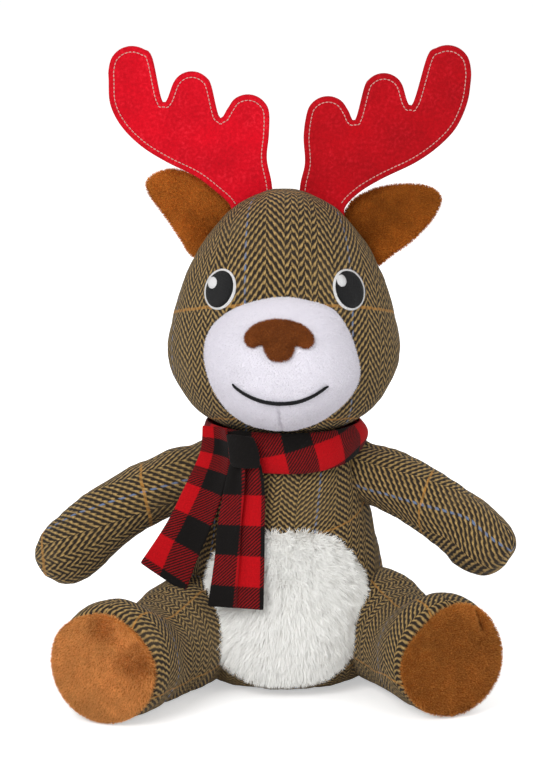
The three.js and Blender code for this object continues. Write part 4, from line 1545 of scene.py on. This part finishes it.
def strip(name, values, shape):  # shape gives how far across and how far forward
    rows, columns = values["steps"]
    left, right = sampled(values["left"], rows), sampled(values["right"], rows)
    verts, cloth, length, skew, pull = [], [], 0, values["skew"], values["pull"]
    for i in range(rows + 1):
        middle = (left[i] + right[i]) / 2
        if i:
            length += (middle - before).length * (1 + values["gather"] * (length > 47))
        before = middle
        across = right[i] - left[i]
        above, below = min(i + 1, rows), max(i - 1, 0)
        up = (left[above] + right[above] - left[below] - right[below]).normalized()
        forward = across.cross(up).normalized()
        row = []
        for j in range(columns + 1):
            share, lift = shape(j / columns, i / rows)
            row.append(left[i] + across * share + forward * lift)
        arcs = [(b - a).length for a, b in zip(row, row[1:])]
        cloth += [(-sum(arcs[j:]) * pull - skew * length, length * pull) for j in range(columns + 1)]
        verts += row
    faces = []
    for i in range(rows):
        for j in range(columns):
            at = i * (columns + 1) + j
            faces.append((at, at + 1, at + columns + 2, at + columns + 1))
    uvs = [[cloth[k] for k in face] for face in faces]
    return thickened(newPiece(name, verts, faces, uvs, flannelMaterial(name + "Flannel", values["shift"])))


def thickened(piece):
    cover = piece.modifiers.new("thick", "SOLIDIFY")
    cover.thickness, cover.offset = scarf["thick"] * mm, 0
    return outward(finer(piece, 1))


# share of the cloth, how far across it lies, how far forward

lap = [(0, 0, 0.2), (0.2, 0.22, 1.3), (0.38, 0.45, 2.8), (0.45, 0.485, 2.3), (0.5, 0.47, 0.8),
       (0.54, 0.445, -0.8), (0.6, 0.5, -1.1), (0.72, 0.66, 0.6), (0.86, 0.85, 0.9), (1, 1, 0)]


def creased(s, t):  # one sharp fold down the front tail, as lap gives it, and pleats near the knot
    for (a, acrossA, liftA), (b, acrossB, liftB) in zip(lap, lap[1:]):
        if s <= b:
            part = (s - a) / (b - a)
            break
    across, lift = acrossA + (acrossB - acrossA) * part, liftA + (liftB - liftA) * part
    pleat = 0.9 * math.sin(s * 17) * max(t - 0.6, 0) / 0.4
    depth = min(0.4 + t, 1)  # the fold opens towards the foot
    return s + (across - s) * depth, lift * (0.6 + 0.4 * depth) + pleat


def rolled(s, t):  # the left tail waves once across and curls at its foot
    wave = 1.5 * math.sin(s * 5.2 + 0.6 + 1.4 * t) * (0.4 + 0.6 * t)
    return s, wave + 1.6 * max(0.12 - t, 0) / 0.12 * s


def tucked(s, t):  # the fold that covers the front tail's top
    return s, 2.2 * math.sin(math.pi * min(s * 1.05, 1)) ** 0.7 - 0.6 * max(0.18 - t, 0) / 0.18


tails = {}
for label, shape in (("front", creased), ("left", rolled), ("knot", tucked)):
    tails[label] = strip("scarf" + label.capitalize(), scarf[label], shape)

band = scarf["band"]
verts, faces, cloth = [], [], []
bandSteps, bandRows = band["steps"]
for i in range(bandSteps + 1):
    angle = math.radians(-200 + 360 * i / bandSteps)
    for j in range(bandRows + 1):
        s = j / bandRows
        radius = band["radius"] + band["bulge"] * math.sin(math.pi * s) - 1.6 * s ** 3
        radius += 0.55 * math.sin(5.5 * s + 3 * angle) + 0.25 * math.sin(9 * angle + 2 * s)
        if i < bandSteps:
            rise = band["rise"] * math.sin(angle) ** 3 if 0 < angle < math.pi else 0
            verts.append((radius * math.sin(angle), -radius * band["depth"] * math.cos(angle),
                          band["bottom"] + band["tall"] * s + rise * (1 - s)))
        u, v, bias = band["radius"] * angle, band["tall"] * s, band["bias"]
        cloth.append((u * math.cos(bias) + v * math.sin(bias), v * math.cos(bias) - u * math.sin(bias)))
wide = bandRows + 1
for i in range(bandSteps):
    for j in range(bandRows):
        faces.append((i * wide + j, i * wide + j + 1, (i + 1) * wide + j + 1, (i + 1) * wide + j))
uvs = [[cloth[k] for k in face] for face in faces]
faces = [tuple(k % len(verts) for k in face) for face in faces]
bandFlannel = flannelMaterial("scarfBandFlannel", band["shift"])
bandPiece = thickened(newPiece("scarfBand", verts, faces, uvs, bandFlannel))
for piece in (bandPiece, *tails.values()):
    area = sum(face.area for face in piece.data.polygons) / 2
    print(piece.name, "has", round(area / mm ** 2), "square millimetres")
print("scarf made")


# What each piece replaces and rides on

def belongs(piece, body, slot, *nodes, fill=None):
    if nodes:
        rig.replaces(piece, *nodes)
    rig.ride(piece, body)
    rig.slot(piece, slot)
    if fill:
        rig.padded(piece, fill)


belongs(bodyPiece, "torso", "tweed", "body_cover", "body_filling", fill=0.8)
belongs(headPiece, "head", "tweed", "head_cover", "head_filling", fill=0.8)
for (side, label), piece in limbPieces.items():
    limb = f"{side}_{label}"
    belongs(piece, limb, "tweed", limb + "_cover", limb + "_filling", fill=0.8)
belongs(muzzlePiece, "head", "white_plush", "muzzle_panel", fill=0.8)
belongs(nosePiece, "head", "nose_felt", "nose")
belongs(mouthPiece, "head", "black_thread", "mouth_stitch")
for (side, label), piece in eyePieces.items():
    belongs(piece, "head", "black_thread" if label == "pupil" else "white_thread", f"{side}_eye_{label}")
for side in sides:
    belongs(earPieces[side], side + "_ear", "brown_plush", side + "_ear", fill=0.5)
    belongs(padPieces[side], side + "_leg", "brown_plush", side + "_foot_pad", fill=0.7)
    for layer in layers:
        belongs(antlerPieces[side, layer], side + "_antler", "red_felt", f"{side}_antler_{layer.lower()}")
        belongs(sewingPieces[side, layer], side + "_antler", "white_thread")
belongs(bellyPiece, "torso", "white_plush", "belly_patch")
belongs(bandPiece, "torso", "checked_flannel", "scarf_neck_band")
belongs(tails["knot"], "torso", "checked_flannel")
for label in ("front", "left"):
    swinging = f"scarf_{label}_tail"
    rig.replaces(tails[label], swinging)
    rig.blend(tails[label], "torso", swinging, *[Vector(spot) * mm for spot in scarf[label]["bends"]])
    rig.slot(tails[label], "checked_flannel")
for piece, flat, held, under, extra in (
    (bandPiece, scarf["band"]["flat"], "draped", bodyPiece, [tails["knot"]]),
    (tails["front"], scarf["front"]["flat"], "hung", bandPiece, []),
    (tails["left"], scarf["left"]["flat"], "hung", bandPiece, []),
):
    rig.sheet(piece, [size * mm for size in flat], held, rests_on=under, with_pieces=extra)
for shape in (shortStrand, longStrand, mouthStitch, seamStitch):
    bpy.data.objects.remove(shape)


# Camera, light and floor

view = {"elevation": 12, "distance": 1.8, "aim": (-7.9, 0, 137.5), "tall": 341.55}
cameraData = bpy.data.cameras.new("camera")
cameraData.sensor_width = 36
cameraData.lens = 36 * view["distance"] / (view["tall"] * mm)
cameraData.clip_end = 50
camera = bpy.data.objects.new("camera", cameraData)
lift = math.radians(view["elevation"])
camera.location = Vector(view["aim"]) * mm + view["distance"] * Vector((0, -math.cos(lift), math.sin(lift)))
camera.rotation_euler = (math.pi / 2 - lift, 0, 0)
scene.collection.objects.link(camera)
scene.camera = camera


def areaLight(name, place, size, power):
    data = bpy.data.lights.new(name, "AREA")
    data.shape, data.size, data.energy = "DISK", size, power
    lamp = bpy.data.objects.new(name, data)
    lamp.location = place
    lamp.rotation_euler = (Vector((0, 0, 0.13)) - Vector(place)).to_track_quat("-Z", "Y").to_euler()
    scene.collection.objects.link(lamp)


areaLight("keyLight", (-0.7, -1.35, 1.1), 0.9, 17)  # metres and watts
areaLight("fillLight", (1.1, -1.3, 0.7), 1.2, 5.5)
areaLight("backLight", (0.2, 1.0, 1.2), 0.9, 5)

world = bpy.data.worlds.new("studio")
scene.world = world
world.use_nodes = True
world.node_tree.nodes.clear()
wires = Wiring(world.node_tree)
path = wires.node("ShaderNodeLightPath")
seen = wires.math("MAXIMUM", path.outputs["Is Camera Ray"], path.outputs["Is Glossy Ray"])
strength = wires.scaled(seen, 0.45, 0.55)
sky = wires.node("ShaderNodeBackground", {"Color": (1, 1, 1, 1), "Strength": strength})
worldOut = wires.node("ShaderNodeOutputWorld")
world.node_tree.links.new(sky.outputs[0], worldOut.inputs[0])

floorMat, wires, bsdf = newMaterial("paleFloor", 0.9)
bsdf.inputs["Base Color"].default_value = (0.93, 0.93, 0.93, 1)
bsdf.inputs["Emission Color"].default_value = (1, 1, 1, 1)
seen = wires.node("ShaderNodeLightPath").outputs["Is Camera Ray"]
wires.feed(bsdf.inputs["Emission Strength"], wires.times(seen, 0.47))
corners = [(-1, -1), (1, -1), (1, 1), (-1, 1)]
floor = newPiece("floor", [(4000 * x, 4000 * y, 0) for x, y in corners], [(0, 1, 2, 3)], [corners], floorMat)
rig.stage(floor)
scene.view_settings.view_transform = "Standard"
print("camera and light set")

with open("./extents.json", "w") as sizes:
    json.dump({"cad": [list(v) for v in cadBox], "visual": [list(v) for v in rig.bounds()]}, sizes)
